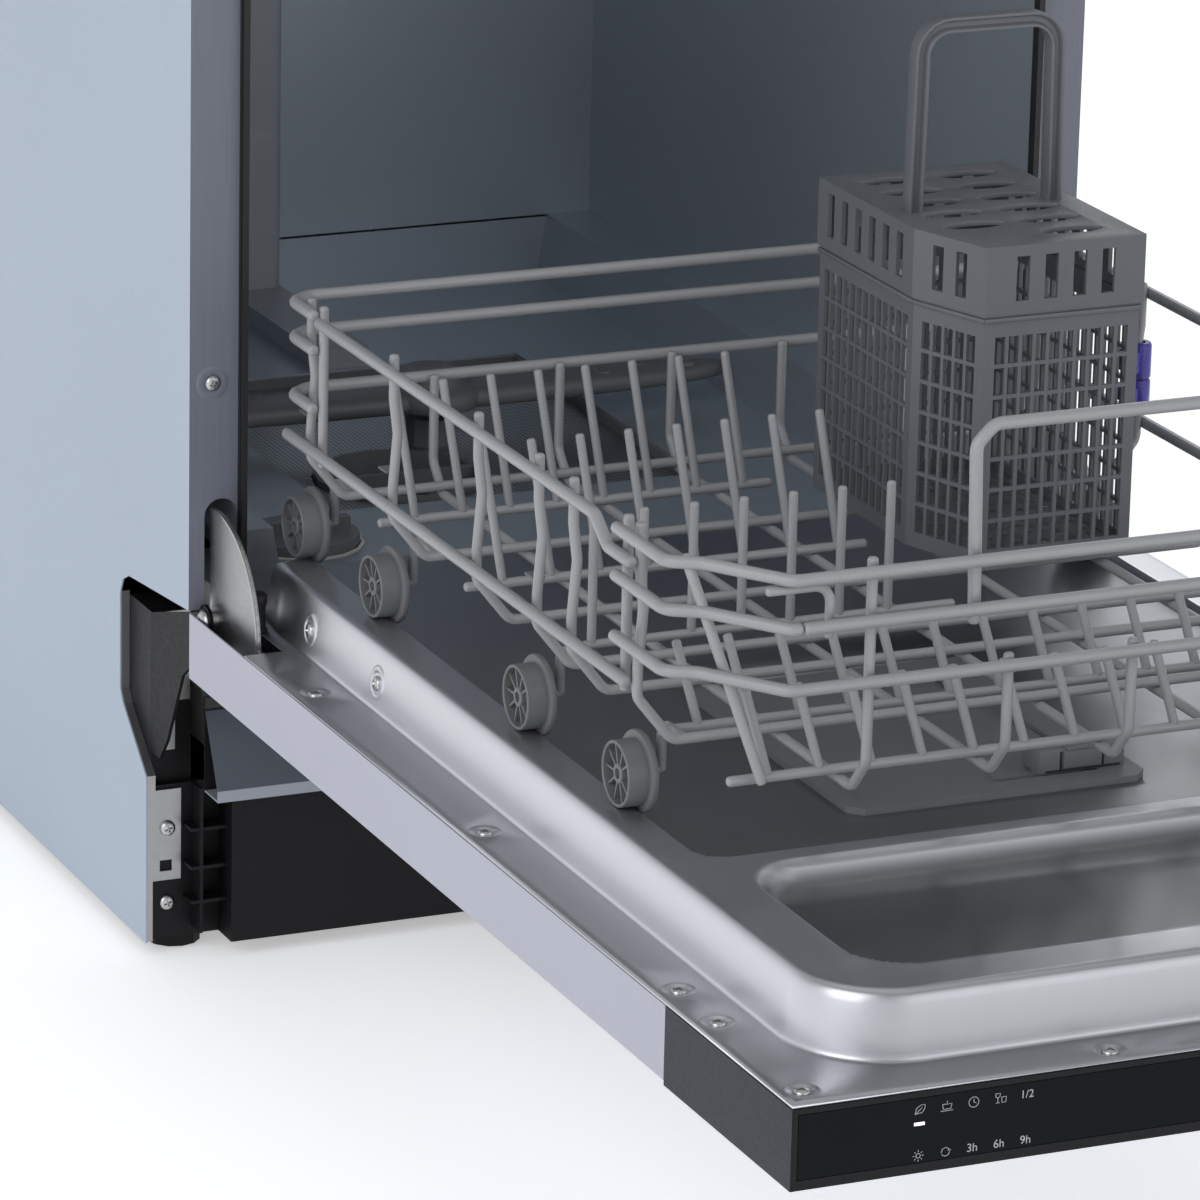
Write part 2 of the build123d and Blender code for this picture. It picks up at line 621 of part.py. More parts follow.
def door_liner():
    """Stainless liner: flat flange and the raised, stepped block, in fields round the dispenser."""
    liner = box(-HALF + 0.4, HALF - 0.4, DOOR_FRONT + 0.6, DOOR_BACK, DOOR_Z - LINER, DOOR_Z)
    liner += liner_block()
    liner -= liner_hollow()
    for side in (-1, 1):
        liner -= box(side * 204.5, side * 230, -70, 1, DOOR_Z - 3, DOOR_Z + 3)
    liner -= box(*LATCH_SLOT, DOOR_Z - 3, DOOR_Z + 3)
    x0, x1, y0, y1 = DISPENSER
    fields = [
        (-HALF, -STRIP_IN, DOOR_FRONT, 0), (STRIP_IN, HALF, DOOR_FRONT, 0),
        (-STRIP_IN, STRIP_IN, DOOR_FRONT, STEP_FRONT),
        (-STRIP_IN, x0, STEP_FRONT, 0), (x1, STRIP_IN, STEP_FRONT, 0),
        (x0, x1, STEP_FRONT, y0), (x0, x1, y1, 0),
    ]
    return [liner & box(*field, DOOR_Z - 5, RAIL_Z + 5) for field in fields]


def liner_screw_places():
    places = []
    for side in (-1, 1):
        for y in DIMPLE_YS:
            places.append((side * SCREW_X, y))
        places.append((side * 84, -636))
    return places


def door_screws():
    """Heads of the screws that hold the liner's flange."""
    return [bar((x, y, DOOR_Z), (x, y, DOOR_Z + 1.4), 6.8, 6) for x, y in liner_screw_places()]


def hinge_arms():
    """Quarter-disc steel arms fixed in the door's bottom corners, turning on the pins."""
    plane = Plane(origin=(-ARM_X, AXIS_Y, AXIS_Z), x_dir=(0, 1, 0), z_dir=(1, 0, 0))
    disc = Circle(ARM_R) & Pos(-ARM_R / 2 + 4, ARM_R / 2 - 4) * Rectangle(ARM_R + 8, ARM_R + 8)
    disc += Pos(-60, -6) * Rectangle(110, 14)
    disc += RegularPolygon(9, 12)
    arm = extrude(plane * disc, 2)
    arm -= cross_rod(-230, -200, AXIS_Y, AXIS_Z, HINGE_PIN_R + 0.05)
    return pair(arm)


BUTTON_XS = (72, 104, 136)
BUTTON_Z = DOOR_Z - 17
FACE_DEPTH = 1.6
FACE_EDGE = 2.6
FACE_TOP = DOOR_Z - 3.2


def button_hole(x):
    return box(x - 8.3, x + 8.3, DOOR_FRONT - 1, DOOR_FRONT + 8, BUTTON_Z - 3.8, BUTTON_Z + 3.8)


def console_housing():
    """Black moulded head of the door, hollow, with a recess for the fascia."""
    body = box(-HALF, HALF, DOOR_FRONT, SEAM_Y, CONSOLE_Z, DOOR_Z - LINER)
    body -= box(-HALF + 2.4, HALF - 2.4, DOOR_FRONT + 5, SEAM_Y - 2, CONSOLE_Z + 2.4, DOOR_Z + 1)
    face_x = HALF - FACE_EDGE
    body -= box(-face_x, face_x, DOOR_FRONT - 1, DOOR_FRONT + FACE_DEPTH, CONSOLE_Z + 4, FACE_TOP)
    for x in BUTTON_XS:
        body -= button_hole(x)
    for y in (-570, -610):
        body += box(-HALF + 2, HALF - 2, y, y + 2, CONSOLE_Z + 2, CONSOLE_Z + 16)
    return body


def console_face():
    """Glossy fascia strip set into the housing, open where the buttons come through."""
    half = HALF - FACE_EDGE - 0.3
    face = box(-half, half, DOOR_FRONT, DOOR_FRONT + FACE_DEPTH, CONSOLE_Z + 4.3, FACE_TOP - 0.3)
    for x in BUTTON_XS:
        face -= button_hole(x)
    return face


def push_button(x):
    """A rectangular key with a collar behind the housing wall."""
    key = box(x - 8, x + 8, DOOR_FRONT - 0.8, DOOR_FRONT + 6, BUTTON_Z - 3.5, BUTTON_Z + 3.5)
    collar = box(x - 10, x + 10, DOOR_FRONT + 5.2, DOOR_FRONT + 6.4, BUTTON_Z - 5.5, BUTTON_Z + 5.5)
    return key + collar


def door_latch():
    """Latch block under the slot in the liner, with its claw."""
    body = box(-22, 22, -639, -612, CONSOLE_Z + 2.4, CONSOLE_Z + 9)
    return body + box(-14, 14, -624, -620, CONSOLE_Z + 8, DOOR_Z - 4)


def latch_striker():
    """Steel strike loop on the top brace that enters the door's latch slot."""
    loop = box(-10, 10, -17, SHEET, COVER_LOW, COVER_LOW + 2) - box(-5, 5, -12, -3, 800, 820)
    return loop + box(-14, 14, -0.4, SHEET, COVER_LOW, COVER_LOW + 14)


CAP_X, CAP_Y = 5, -276
POCKET_Z = RAIL_Z - STEP_DEPTH


def dispenser_housing():
    """Detergent and rinse-aid unit set into the liner, with a raised rim."""
    x0, x1, y0, y1 = DISPENSER
    body = box(x0 + 0.5, x1 - 0.5, y0 + 0.5, y1 - 0.5, SKIN_Z + SHEET, POCKET_Z + 1)
    rim = box(x0 - 4, x1 + 4, y0 - 4, y1 + 4, POCKET_Z, POCKET_Z + 3)
    body += chamfer(rim.edges().filter_by(Axis.Z), 6)
    body -= box(x0 + 10, x1 - 24, y0 + 14, y0 + 66, SKIN_Z + 10, POCKET_Z + 8)
    body -= box(x0 + 5, x1 - 14, y0 + 8, y1 - 50, POCKET_Z - 1.4, POCKET_Z + 8)
    return body - bar((CAP_X, CAP_Y, POCKET_Z - 9), (CAP_X, CAP_Y, POCKET_Z + 8), 31, 16)


def dispenser_lid():
    """Lid that slides back to open the detergent chamber."""
    x0, x1, y0, y1 = DISPENSER
    lid = box(x0 + 6, x1 - 15, y0 + 9, y0 + 72, POCKET_Z - 1.2, POCKET_Z + 1.4)
    return lid + box(x1 - 60, x1 - 20, y0 + 12, y0 + 18, POCKET_Z + 1, POCKET_Z + 2.8)


def rinse_aid_cap():
    """Round cap with a raised finger bar."""
    cap = bar((CAP_X, CAP_Y, POCKET_Z - 8), (CAP_X, CAP_Y, POCKET_Z + 2), 30, 16)
    return cap + box(CAP_X - 12, CAP_X + 12, CAP_Y - 2, CAP_Y + 2, POCKET_Z + 1, POCKET_Z + 4.4)


def door_bottom_seal():
    """Rubber strip across the door below the block, sealing the tub's front sill."""
    return box(-190, 190, -14, -9, DOOR_Z, DOOR_Z + 3)


# Lower rack

FRONT_TURNS = ((191, -399), (191, -449), (178.5, -456), (154.5, RACK_FRONT))
IN_X = RACK_SIDE - WIRE / 2 - THIN / 2 + 0.2
IN_Y = RACK_FRONT + WIRE / 2 + THIN / 2 - 0.1
UNDER_Z = CROSS_Z - THIN + 0.2
FLOOR_XS = (-118, -56, 0, 56, 118)
TINE_ROWS = ((-462, 168, 36), (-395, 168, 36), (-190, 25, 62), (-90, 25, 62))


def front_corner(z):
    """Wire that wraps round a front corner of the rack."""
    return [(x, y, z) for x, y in FRONT_TURNS]


def across(side, diameter):
    """A wire from side to side: two bent ends that come from the right-hand points, and a straight middle."""
    x, y, z = side[-1]
    x += diameter / 4
    return pair(bent_wire(side, diameter)) + [bar((-x, y, z), (x, y, z), diameter)]


def along(x, front, rear, diameter):
    """A wire from front to rear: bent ends given as (y, z) points and a straight middle."""
    ends = [bent_wire([(x, y, z) for y, z in points], diameter) for points in (front, rear)]
    start, end = front[-1][0] - diameter / 4, rear[0][0] + diameter / 4
    return ends + [bar((x, start, front[-1][1]), (x, end, rear[0][1]), diameter)]


def rim_wires():
    rim = [(-RACK_SIDE, -70, RIM_Z), (-RACK_SIDE, -372, RIM_Z), (-RACK_SIDE, -386, RIM_Z - 10),
           (-RACK_SIDE, -406, RIM_Z - 10)]
    wires = pair(bent_wire(rim, WIRE))
    wires += pair(bar((-RACK_SIDE, RACK_REAR, LOW_Z), (-RACK_SIDE, -407, LOW_Z), WIRE))
    top, middle, low = FRONT_Z
    wires += across(front_corner(top), WIRE) + across(front_corner(low), WIRE)
    wires += pair(bent_wire(front_corner(middle) + [(RAIL_HALF + 0.4, RACK_FRONT, middle)], WIRE))
    for z in (RIM_Z + 2, RIM_Z - 14, LOW_Z + 20):
        wires += across([(RACK_SIDE, -62, z), (RACK_SIDE, -36, z), (RACK_SIDE - 10, RACK_REAR, z)], WIRE)
    return wires


def cross_wires():
    """U-shaped wires that run down one side, across the floor and up the other side."""
    wires = []
    for y in CROSS_YS:
        wires += across([(IN_X, y, RIM_Z + 6), (IN_X, y, CROSS_Z + 24), (162, y, CROSS_Z)], THIN)
    for y in (-61, -395):
        wires += pair(bar((IN_X, y, RIM_Z + 6), (IN_X, y, LOW_Z - 8), THIN))
    wires += pair(bar((-184, -451, FRONT_Z[0] + 3), (-156, -470, CROSS_Z), THIN))
    return wires


def floor_wires():
    """Wires that run down the front, along the floor and up the rear."""
    wires = []
    back_y = RACK_REAR - WIRE / 2 - THIN / 2 + 0.1
    for x in FLOOR_XS:
        top = FRONT_Z[0] + 5 if abs(x) == FLOOR_XS[-1] else FRONT_Z[2] + 4
        front = [(IN_Y, top), (IN_Y, UNDER_Z + 14), (IN_Y + 12, UNDER_Z)]
        rear = [(back_y - 12, UNDER_Z), (back_y, UNDER_Z + 12), (back_y, LOW_Z + 22)]
        wires += along(x, front, rear, THIN)
    return wires


def tine_rows():
    """Leaning pegs that keep the plates apart, each row on its own wire."""
    rows = []
    for y, end, tall in TINE_ROWS:
        rows.append(bar((-168, y, CROSS_Z), (end, y, CROSS_Z), THIN))
        for step in range(int((end + 142) / TINE_PITCH) + 1):
            x = -150 + step * TINE_PITCH
            rows.append(bar((x, y, CROSS_Z + 1), (x - 8, y + 7, CROSS_Z + tall), TINE, 4))
    return rows


def axle_wires():
    """Stub axles for the wheels, each held by a hanger under the floor wires."""
    wires = []
    x = -161.5
    for y in WHEEL_YS:
        near = min(CROSS_YS, key=lambda cross: abs(cross - y))
        wires += pair(bar((-WHEEL_OUT + 3, y, WHEEL_Z), (x + 1, y, WHEEL_Z), 2 * AXLE_R, 6))
        wires += pair(bent_wire([(x, y, WHEEL_Z - 1.5), (x, y, CROSS_Z), (x, near, CROSS_Z)], THIN))
    return wires


def handle_wire():
    """Raised wire handle on the front of the rack."""
    y = RACK_FRONT + WIRE - 0.1
    low, high = FRONT_Z[1] - 8, DOOR_Z + 207
    hook = [(-164, y, FRONT_Z[0] - 5), (-136, y, FRONT_Z[0] - 5), (-136, y, FRONT_Z[1] - 7)]
    return across([(72, y, low), (74, y, high - 8), (66, y, high)], WIRE) + pair(bent_wire(hook, TINE))


def lower_rack_frame():
    """Welded wire frame of the lower rack."""
    return rim_wires() + cross_wires() + floor_wires() + tine_rows() + axle_wires() + handle_wire()


def lower_rack_front_rail():
    """Middle front wire of the rack, the bar on which the rack stays level."""
    y = RACK_FRONT - RAIL_STEP
    return rod((-RAIL_HALF, y, FRONT_Z[1]), (RAIL_HALF, y, FRONT_Z[1]), WIRE)


def rack_wheel(side, y):
    """Rack wheel: narrow tread with ribs inside, and a larger guide flange inboard."""
    out = -WHEEL_OUT
    web = out + WHEEL_TREAD
    tread = bar((out, 0, 0), (web, 0, 0), 2 * WHEEL_R, 12)
    tread -= bar((out - 1, 0, 0), (web - 0.8, 0, 0), 2 * WHEEL_R - 4, 10)
    tread += bar((out + 0.8, 0, 0), (web - 0.4, 0, 0), 8, 6)
    for turn in (0, 90):
        tread += Pos(out + 5.2, 0, 0) * Rot(turn, 0, 0) * Box(7.2, 2 * WHEEL_R - 4.2, 1)
    flange = bar((web, 0, 0), (web + 3, 0, 0), 2 * WHEEL_FLANGE_R, 12)
    bore = bar((out + 2, 0, 0), (web + 5, 0, 0), 2 * AXLE_R + 0.9, 6)
    wheel = [Pos(0, y, WHEEL_Z) * (layer - bore) for layer in (tread, flange)]
    return wheel if side == "left" else [flip(layer) for layer in wheel]


def rack_clips():
    """Coloured plastic clips on the right side, near the rear."""
    y = CROSS_YS[1]
    clips = []
    for z in (DOOR_Z + 120, DOOR_Z + 103):
        clip = bar((IN_X, y, z - 8), (IN_X, y, z + 8), 11, 8)
        clip += box(IN_X - 9, IN_X - 2, y - 7, y + 7, z - 7, z + 5)
        clips.append(clip - bar((IN_X, y, z - 20), (IN_X, y, z + 20), THIN + 1.2, 6))
    return clips


FOLD_Y = -295
FOLD_Z = CROSS_Z + THIN / 2 + TINE / 2 + 0.6
FOLD_ENDS = (-158, 16)


def folding_tines():
    """Row of tall tines on a rod, folding flat to the rear."""
    x0, x1 = FOLD_ENDS
    row = [bar((x0, FOLD_Y, FOLD_Z), (x1, FOLD_Y, FOLD_Z), TINE, 8)]
    for step in range(int((x1 - x0 - 16) / TINE_PITCH) + 1):
        x = x0 + 4 + step * TINE_PITCH
        row.append(bar((x, FOLD_Y, FOLD_Z), (x, FOLD_Y, FOLD_Z + 58), TINE, 4))
    return row


# Cutlery basket


def basket_plan():
    (x0, x1), (y0, y1) = BASKET_X, BASKET_Y
    cut_x, cut_y = BASKET_CUT
    points = [(x0 + cut_x, y0), (x1, y0), (x1, y1), (x0, y1), (x0, y0 + cut_y)]
    return make_face(Polyline(*points, close=True))


def cutlery_basket():
    """Moulded basket: lattice walls, slotted upper band, holed top and loop handle."""
    (x0, x1), (y0, y1), (z0, z1) = BASKET_X, BASKET_Y, BASKET_Z
    band = z1 - 25
    inset = 1.2
    lower = offset(basket_plan(), -inset, kind=Kind.INTERSECTION)
    basket = Pos(0, 0, z0) * extrude(lower, band - z0) + Pos(0, 0, band) * extrude(basket_plan(), z1 - band)
    hollow = offset(basket_plan(), -inset - BASKET_WALL, kind=Kind.INTERSECTION)
    basket -= Pos(0, 0, z0 + 2) * extrude(hollow, z1 - z0 - 4)
    mid_x, mid_y = (x0 + x1) / 2, (y0 + y1) / 2
    for z in (z0 + 34, z0 + 87):
        for col in range(3):
            basket -= Pos(mid_x, y0 + 60 + col * 28, z) * Box(150, 22, 46)
            basket -= Pos(x0 + 34 + col * 25, mid_y, z) * Box(19, 200, 46)
    for col in range(5):
        basket -= Pos(x0 + 24 + col * 15, mid_y, band + 13) * Box(8, 200, 13)
        basket -= Pos(mid_x, y0 + 54 + col * 17, band + 13) * Box(150, 9, 13)
    for row in range(2):
        for col in range(4):
            basket -= Pos(x0 + 31 + row * 38, y0 + 22 + col * 32, z1 - 4) * Box(28, 18, 12)
    handle_z = DOOR_Z + 292
    low = z1 - 1
    handle = box(46, 118, mid_y - 3.5, mid_y + 3.5, low, handle_z + 4.5)
    handle -= box(54, 110, mid_y - 5, mid_y + 5, low - 1, handle_z - 4.5)
    handle = chamfer(handle.edges().filter_by(Axis.Y).sort_by(Axis.Z)[-2:], 6)
    return basket + handle


# Upper rack


def upper_rack_wires():
    """Upper rack: rims, floor and side wires and cup tines."""
    y0, y1 = UP_Y
    wires = []
    for z in (UP_RIM, UP_FLOOR + 30):
        wires += pair(bar((UP_HALF, y0 - 2, z), (UP_HALF, y1 + 2, z), THIN))
        wires += [bar((-UP_HALF, y, z), (UP_HALF, y, z), THIN) for y in (y0, y1)]
    side = UP_HALF - 3.5
    for y in (60, 130, 200, 310, 380, 450):
        wires += across([(side, y, UP_RIM + 3), (side, y, UP_FLOOR + 14), (side - 16, y, UP_FLOOR)], THIN)
    floor = UP_FLOOR + 3.6
    for x in (-120, -60, 0, 60, 120):
        front = [(y0 + 3.5, UP_RIM + 2), (y0 + 3.5, UP_FLOOR + 14), (y0 + 16, floor)]
        rear = [(y1 - 16, floor), (y1 - 3.5, UP_FLOOR + 14), (y1 - 3.5, UP_RIM + 2)]
        wires += along(x, front, rear, THIN)
    for y in (130, 200, 310, 380):
        for x in (-90, -30, 30, 90):
            wires.append(bar((x, y, UP_FLOOR + 1), (x, y + 8, UP_FLOOR + 55), TINE, 4))
    return wires


def upper_rack_rails():
    """Channel rails on both sides of the upper rack, with end stops and wire hooks."""
    y0, y1 = UP_Y
    z0, z1 = UP_RAIL_Z - 9.2, UP_RAIL_Z + 9.2
    rail = box(-194.5, -183, y0, y1, z0, z1) - box(-196, -184.2, y0 - 1, y1 + 1, z0 + 1.2, z1 - 1.2)
    rail += box(-194.5, -184, y0 - 3, y0 + 0.1, z0, z1) + box(-194.5, -184, y1 - 0.1, y1 + 3, z0, z1)
    for y in (130, 380):
        rail += box(-183.1, -UP_HALF + 1.2, y - 6, y + 6, UP_RAIL_Z - 2, UP_RAIL_Z + 2)
    return pair(rail)


def upper_roller(side):
    """Roller on a tub pin, running inside the rail."""
    roller = bar((-194, ROLLER_Y, UP_RAIL_Z), (-187.6, ROLLER_Y, UP_RAIL_Z), 2 * ROLLER_R, 16)
    roller -= bar((-200, ROLLER_Y, UP_RAIL_Z), (-180, ROLLER_Y, UP_RAIL_Z), 5.6, 8)
    return roller if side == "left" else flip(roller)


def upper_arm_hub():
    """Feed tube and bearing of the upper arm, hung under the rack floor."""
    top = UP_FLOOR - THIN / 2
    hub = bar((0, ARM_Y, UP_FLOOR - 7.6), (0, ARM_Y, top), 24, 16)
    hub += column(0, ARM_Y, UP_FLOOR - 18, UP_FLOOR - 7, POST_R)
    return hub + box(-9, 9, ARM_Y, 488, UP_FLOOR - 7.6, top)


def upper_spray_arm():
    arm = spray_blade(UP_FLOOR - 20, UP_FLOOR - 9, 160, 24)
    return arm - column(0, ARM_Y, UP_FLOOR - 19, UP_FLOOR, POST_R + 0.08)


def nodes():
    """Every separate piece, by name."""
    makers = [
        left_side_panel, right_side_panel, rear_panel, top_cover, worktop_brackets, tub, door_gasket,
        hinge_brackets, corner_brackets, cabinet_screws, base_tray, levelling_feet, kick_panel, sump,
        filter_plate, filter_cup, salt_cap, water_softener, circulation_pump, drain_pump, inlet_valve,
        side_water_tank, door_springs, supply_tube, ceiling_sprayer, lower_spray_arm, latch_striker,
        door_outer_skin, door_liner, door_screws, hinge_arms, console_housing, console_face, door_latch,
        dispenser_housing, dispenser_lid, rinse_aid_cap, door_bottom_seal, lower_rack_front_rail,
        lower_rack_frame, rack_clips, folding_tines, cutlery_basket, upper_rack_wires, upper_rack_rails,
        upper_arm_hub, upper_spray_arm,
    ]
    made = {maker.__name__: maker() for maker in makers}
    for number, x in enumerate(BUTTON_XS, 1):
        made[f"push_button_{number}"] = push_button(x)
    for side in ("left", "right"):
        made[f"upper_roller_{side}"] = upper_roller(side)
        for number, y in enumerate(WHEEL_YS, 1):
            made[f"rack_wheel_{side}_{number}"] = rack_wheel(side, y)
    return made


def main():
    os.makedirs("parts", exist_ok=True)
    for name, shape in nodes().items():
        pieces = shape if isinstance(shape, list) else [shape]
        solids = [solid for piece in pieces for solid in piece.solids()]
        export_step(Pos(0, ORIGIN_Y, 0) * Compound(children=solids), f"parts/{name}.step")


main()
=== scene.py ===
import math

import bmesh
import bpy
from mathutils import Matrix, Vector
from mathutils.geometry import delaunay_2d_cdt


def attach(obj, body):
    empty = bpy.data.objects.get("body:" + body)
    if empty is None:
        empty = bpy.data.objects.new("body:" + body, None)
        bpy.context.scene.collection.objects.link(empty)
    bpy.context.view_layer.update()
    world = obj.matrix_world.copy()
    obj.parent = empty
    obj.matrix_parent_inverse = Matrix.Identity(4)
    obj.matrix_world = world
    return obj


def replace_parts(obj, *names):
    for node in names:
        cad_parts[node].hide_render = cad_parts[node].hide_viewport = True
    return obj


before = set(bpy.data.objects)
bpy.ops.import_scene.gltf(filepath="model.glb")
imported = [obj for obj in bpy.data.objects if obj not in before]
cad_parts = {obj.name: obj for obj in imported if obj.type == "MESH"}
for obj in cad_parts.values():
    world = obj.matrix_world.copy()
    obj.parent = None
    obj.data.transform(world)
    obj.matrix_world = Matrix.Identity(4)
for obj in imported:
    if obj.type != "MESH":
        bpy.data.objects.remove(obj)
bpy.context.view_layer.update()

MM = 0.001
FRONT_TO_ROW = 56
DOOR = 188
RAIL = 215.5
BASE_R = 42
REAR_R = 12
FRONT, BACK = -620, -17
BLOCK_MID, BLOCK_LONG, BLOCK_HALF = (FRONT + BACK) / 2, (BACK - FRONT) / 2, 197
STRIP_IN = 174
STEP = 5.5
POOL = 13
POOL_MID, POOL_LONG, POOL_HALF = -528, 62, 166
FACE_Y = -647
ARM_Y = 255
WHEEL_YS = (-21, -116, -280, -384.5)
WHEEL_Z = RAIL + 14.3


def at(x, y, z):
    """A point given in millimetres from the cabinet's front plane."""
    return Vector((x * MM, (y + FRONT_TO_ROW) * MM, z * MM))


# Materials


class Net:
    """A material's nodes, with short calls."""

    def __init__(self, name):
        self.mat = bpy.data.materials.new(name)
        self.mat.use_nodes = True
        self.tree = self.mat.node_tree
        self.bsdf = self.tree.nodes["Principled BSDF"]
        self.coord = self.tree.nodes.new("ShaderNodeTexCoord").outputs["Object"]

    def feed(self, socket, value):
        if hasattr(value, "is_output"):
            self.tree.links.new(value, socket)
        else:
            socket.default_value = value

    def node(self, kind, **inputs):
        made = self.tree.nodes.new("ShaderNode" + kind)
        for key, value in inputs.items():
            self.feed(made.inputs[key.replace("_", " ")], value)
        return made

    def scaled(self, x, y, z):
        return self.node("Mapping", Vector=self.coord, Scale=(x, y, z)).outputs[0]

    def noise(self, scale, detail=3.0, vector=None, rough=0.5):
        made = self.node("TexNoise", Vector=vector or self.coord, Scale=scale, Detail=detail, Roughness=rough)
        return made.outputs["Fac"]

    def span(self, value, low, high, from_low=0.3, from_high=0.7):
        made = self.node("MapRange", Value=value, From_Min=from_low, From_Max=from_high, To_Min=low, To_Max=high)
        return made.outputs["Result"]

    def mix(self, factor, a, b):
        made = self.node("Mix")
        made.data_type = "RGBA"
        for k, value in zip((0, 6, 7), (factor, a, b)):
            self.feed(made.inputs[k], (*value, 1) if isinstance(value, tuple) else value)
        return made.outputs[2]

    def math(self, kind, a, b=0.0):
        made = self.node("Math")
        made.operation = kind
        for socket, value in zip(made.inputs, (a, b)):
            self.feed(socket, value)
        return made.outputs[0]

    def bump(self, height, strength, distance=0.0005):
        made = self.node("Bump", Strength=strength, Distance=distance, Height=height)
        self.feed(self.bsdf.inputs["Normal"], made.outputs[0])

    def part(self, axis):
        """One of the object's own coordinates."""
        return self.node("SeparateXYZ", Vector=self.coord).outputs[axis]

    def clouded(self, field, color, spread):
        """The colour, a little darker and paler from place to place."""
        return self.mix(self.span(field, 0, 1), shade(color, 1 - spread), shade(color, 1 + spread))

    def between(self, axis, low, high):
        """1 where the object's own coordinate, in mm, lies between the two."""
        value = self.part(axis)
        if axis == 0:
            value = self.math("ABSOLUTE", value)
        over = self.math("GREATER_THAN", value, low * MM)
        return self.math("MULTIPLY", over, self.math("LESS_THAN", value, high * MM))

    def tone(self):
        return self.bsdf.inputs["Base Color"].links[0].from_socket

    def set(self, **values):
        for key, value in values.items():
            self.feed(self.bsdf.inputs[key.replace("_", " ")], value)


def shade(color, factor):
    return tuple(min(1.0, c * factor) for c in color)


def moulded(name, *look):
    return moulded_net(name, *look).mat


def moulded_net(name, color, rough=0.45, grain=900.0, bump=0.12, spread=0.08, specular=0.4, scuff=0.25):
    """Plastic, rubber or coating: fine grain, broad tone changes and light scuffs."""
    net = Net(name)
    broad, fine = net.noise(9.0, 4.0), net.noise(grain, 2.0)
    scratch = net.span(net.noise(60.0, 6.0, net.scaled(1, 6, 1), 0.7), 0, 1, 0.58, 0.75)
    tone = net.clouded(broad, color, spread)
    net.set(Base_Color=net.mix(net.math("MULTIPLY", scratch, scuff), tone, shade(color, 1.5)))
    worn = net.math("MULTIPLY", scratch, 0.1)
    net.set(Roughness=net.math("ADD", net.span(fine, rough - 0.05, rough + 0.06), worn))
    net.set(Specular_IOR_Level=specular)
    net.bump(fine, bump, 0.0002)
    return net


def steel(name, *look):
    return steel_net(name, *look).mat


def steel_net(name, color, rough, along, bump, spread, streak=260.0, stain=0.12, metallic=1.0):
    """Rolled or brushed sheet: long fine streaks, soft clouding and a few handling marks."""
    net = Net(name)
    brush = net.noise(streak / 10, 5.0, net.scaled(*along), 0.65)
    cloud = net.noise(5.0, 4.0)
    marks = net.span(net.noise(30.0, 6.0, None, 0.7), 0, 1, 0.6, 0.8)
    tone = net.clouded(cloud, color, spread)
    tone = net.mix(net.span(brush, 0, 0.35), tone, shade(color, 0.86))
    net.set(Base_Color=net.mix(net.math("MULTIPLY", marks, stain), tone, shade(color, 0.7)))
    worn = net.math("MULTIPLY", marks, 0.1)
    net.set(Roughness=net.math("ADD", net.span(brush, rough - 0.05, rough + 0.07), worn))
    net.set(Metallic=metallic)
    net.bump(brush, bump, 0.0002)
    return net


def painted(name, color):
    """Enamel with a faint orange peel and small tone changes."""
    net, rough, spread = Net(name), 0.38, 0.03
    peel, broad = net.noise(420.0, 2.0), net.noise(4.0, 3.0)
    dust = net.span(net.noise(160.0, 6.0, None, 0.75), 0, 1, 0.66, 0.8)
    tone = net.clouded(broad, color, spread)
    net.set(Base_Color=net.mix(net.math("MULTIPLY", dust, 0.15), tone, shade(color, 0.8)))
    net.set(Roughness=net.span(peel, rough - 0.04, rough + 0.05), Specular_IOR_Level=0.45)
    net.bump(peel, 0.05, 0.0003)
    return net


def cabinet_finish():
    """Pale enamel outside; the folded front edge and the inner side are bare grey sheet."""
    net = painted("panel_enamel", (0.322, 0.378, 0.458))
    geometry = net.node("NewGeometry")
    split = net.node("SeparateXYZ", Vector=geometry.outputs["Position"])
    facing = net.node("SeparateXYZ", Vector=geometry.outputs["Normal"])
    inboard = net.math("LESS_THAN", net.math("ABSOLUTE", split.outputs[0]), 0.2233)
    front = net.math("LESS_THAN", split.outputs[1], (FRONT_TO_ROW + 1.2) * MM)
    fold = net.math("MULTIPLY", front, net.math("LESS_THAN", facing.outputs[1], -0.5))
    bare = net.math("MAXIMUM", inboard, fold)
    streak = net.noise(24.0, 5.0, net.scaled(40, 40, 1), 0.6)
    grey = net.mix(net.span(streak, 0, 1), (0.133, 0.142, 0.176), (0.147, 0.158, 0.195))
    net.set(Base_Color=net.mix(bare, net.tone(), grey))
    return net.mat


COATED = (0.006, 0.006, 0.007)


def kick_finish():
    """Grey-blue enamel, its colour darkened partly as painted shade, with a pale lower lip, and a black backing wall.
    """
    # The dark base colour is partly the paint's grey-blue and partly painted shade under the door.
    net = painted("kick_enamel", (0.075, 0.085, 0.105))
    lip = net.between(2, 84, 89.6)
    back = net.between(1, 41.5 + FRONT_TO_ROW, 43.5 + FRONT_TO_ROW)
    net.set(Base_Color=net.mix(back, net.mix(lip, net.tone(), (0.26, 0.28, 0.32)), COATED))
    return net.mat


def hinge_finish():
    """Zinc sheet whose outer side plate is coated black."""
    net = steel_net("hinge_zinc", (0.46, 0.46, 0.45), 0.36, (8, 8, 20), 0.03, 0.05, 260.0, 0.05)
    outer = net.between(0, 217.95, 219.7)
    net.set(Base_Color=net.mix(outer, net.tone(), COATED), Metallic=net.math("SUBTRACT", 1.0, outer))
    net.set(Specular_IOR_Level=net.span(outer, 0.5, 0.05, 0, 1))
    return net.mat


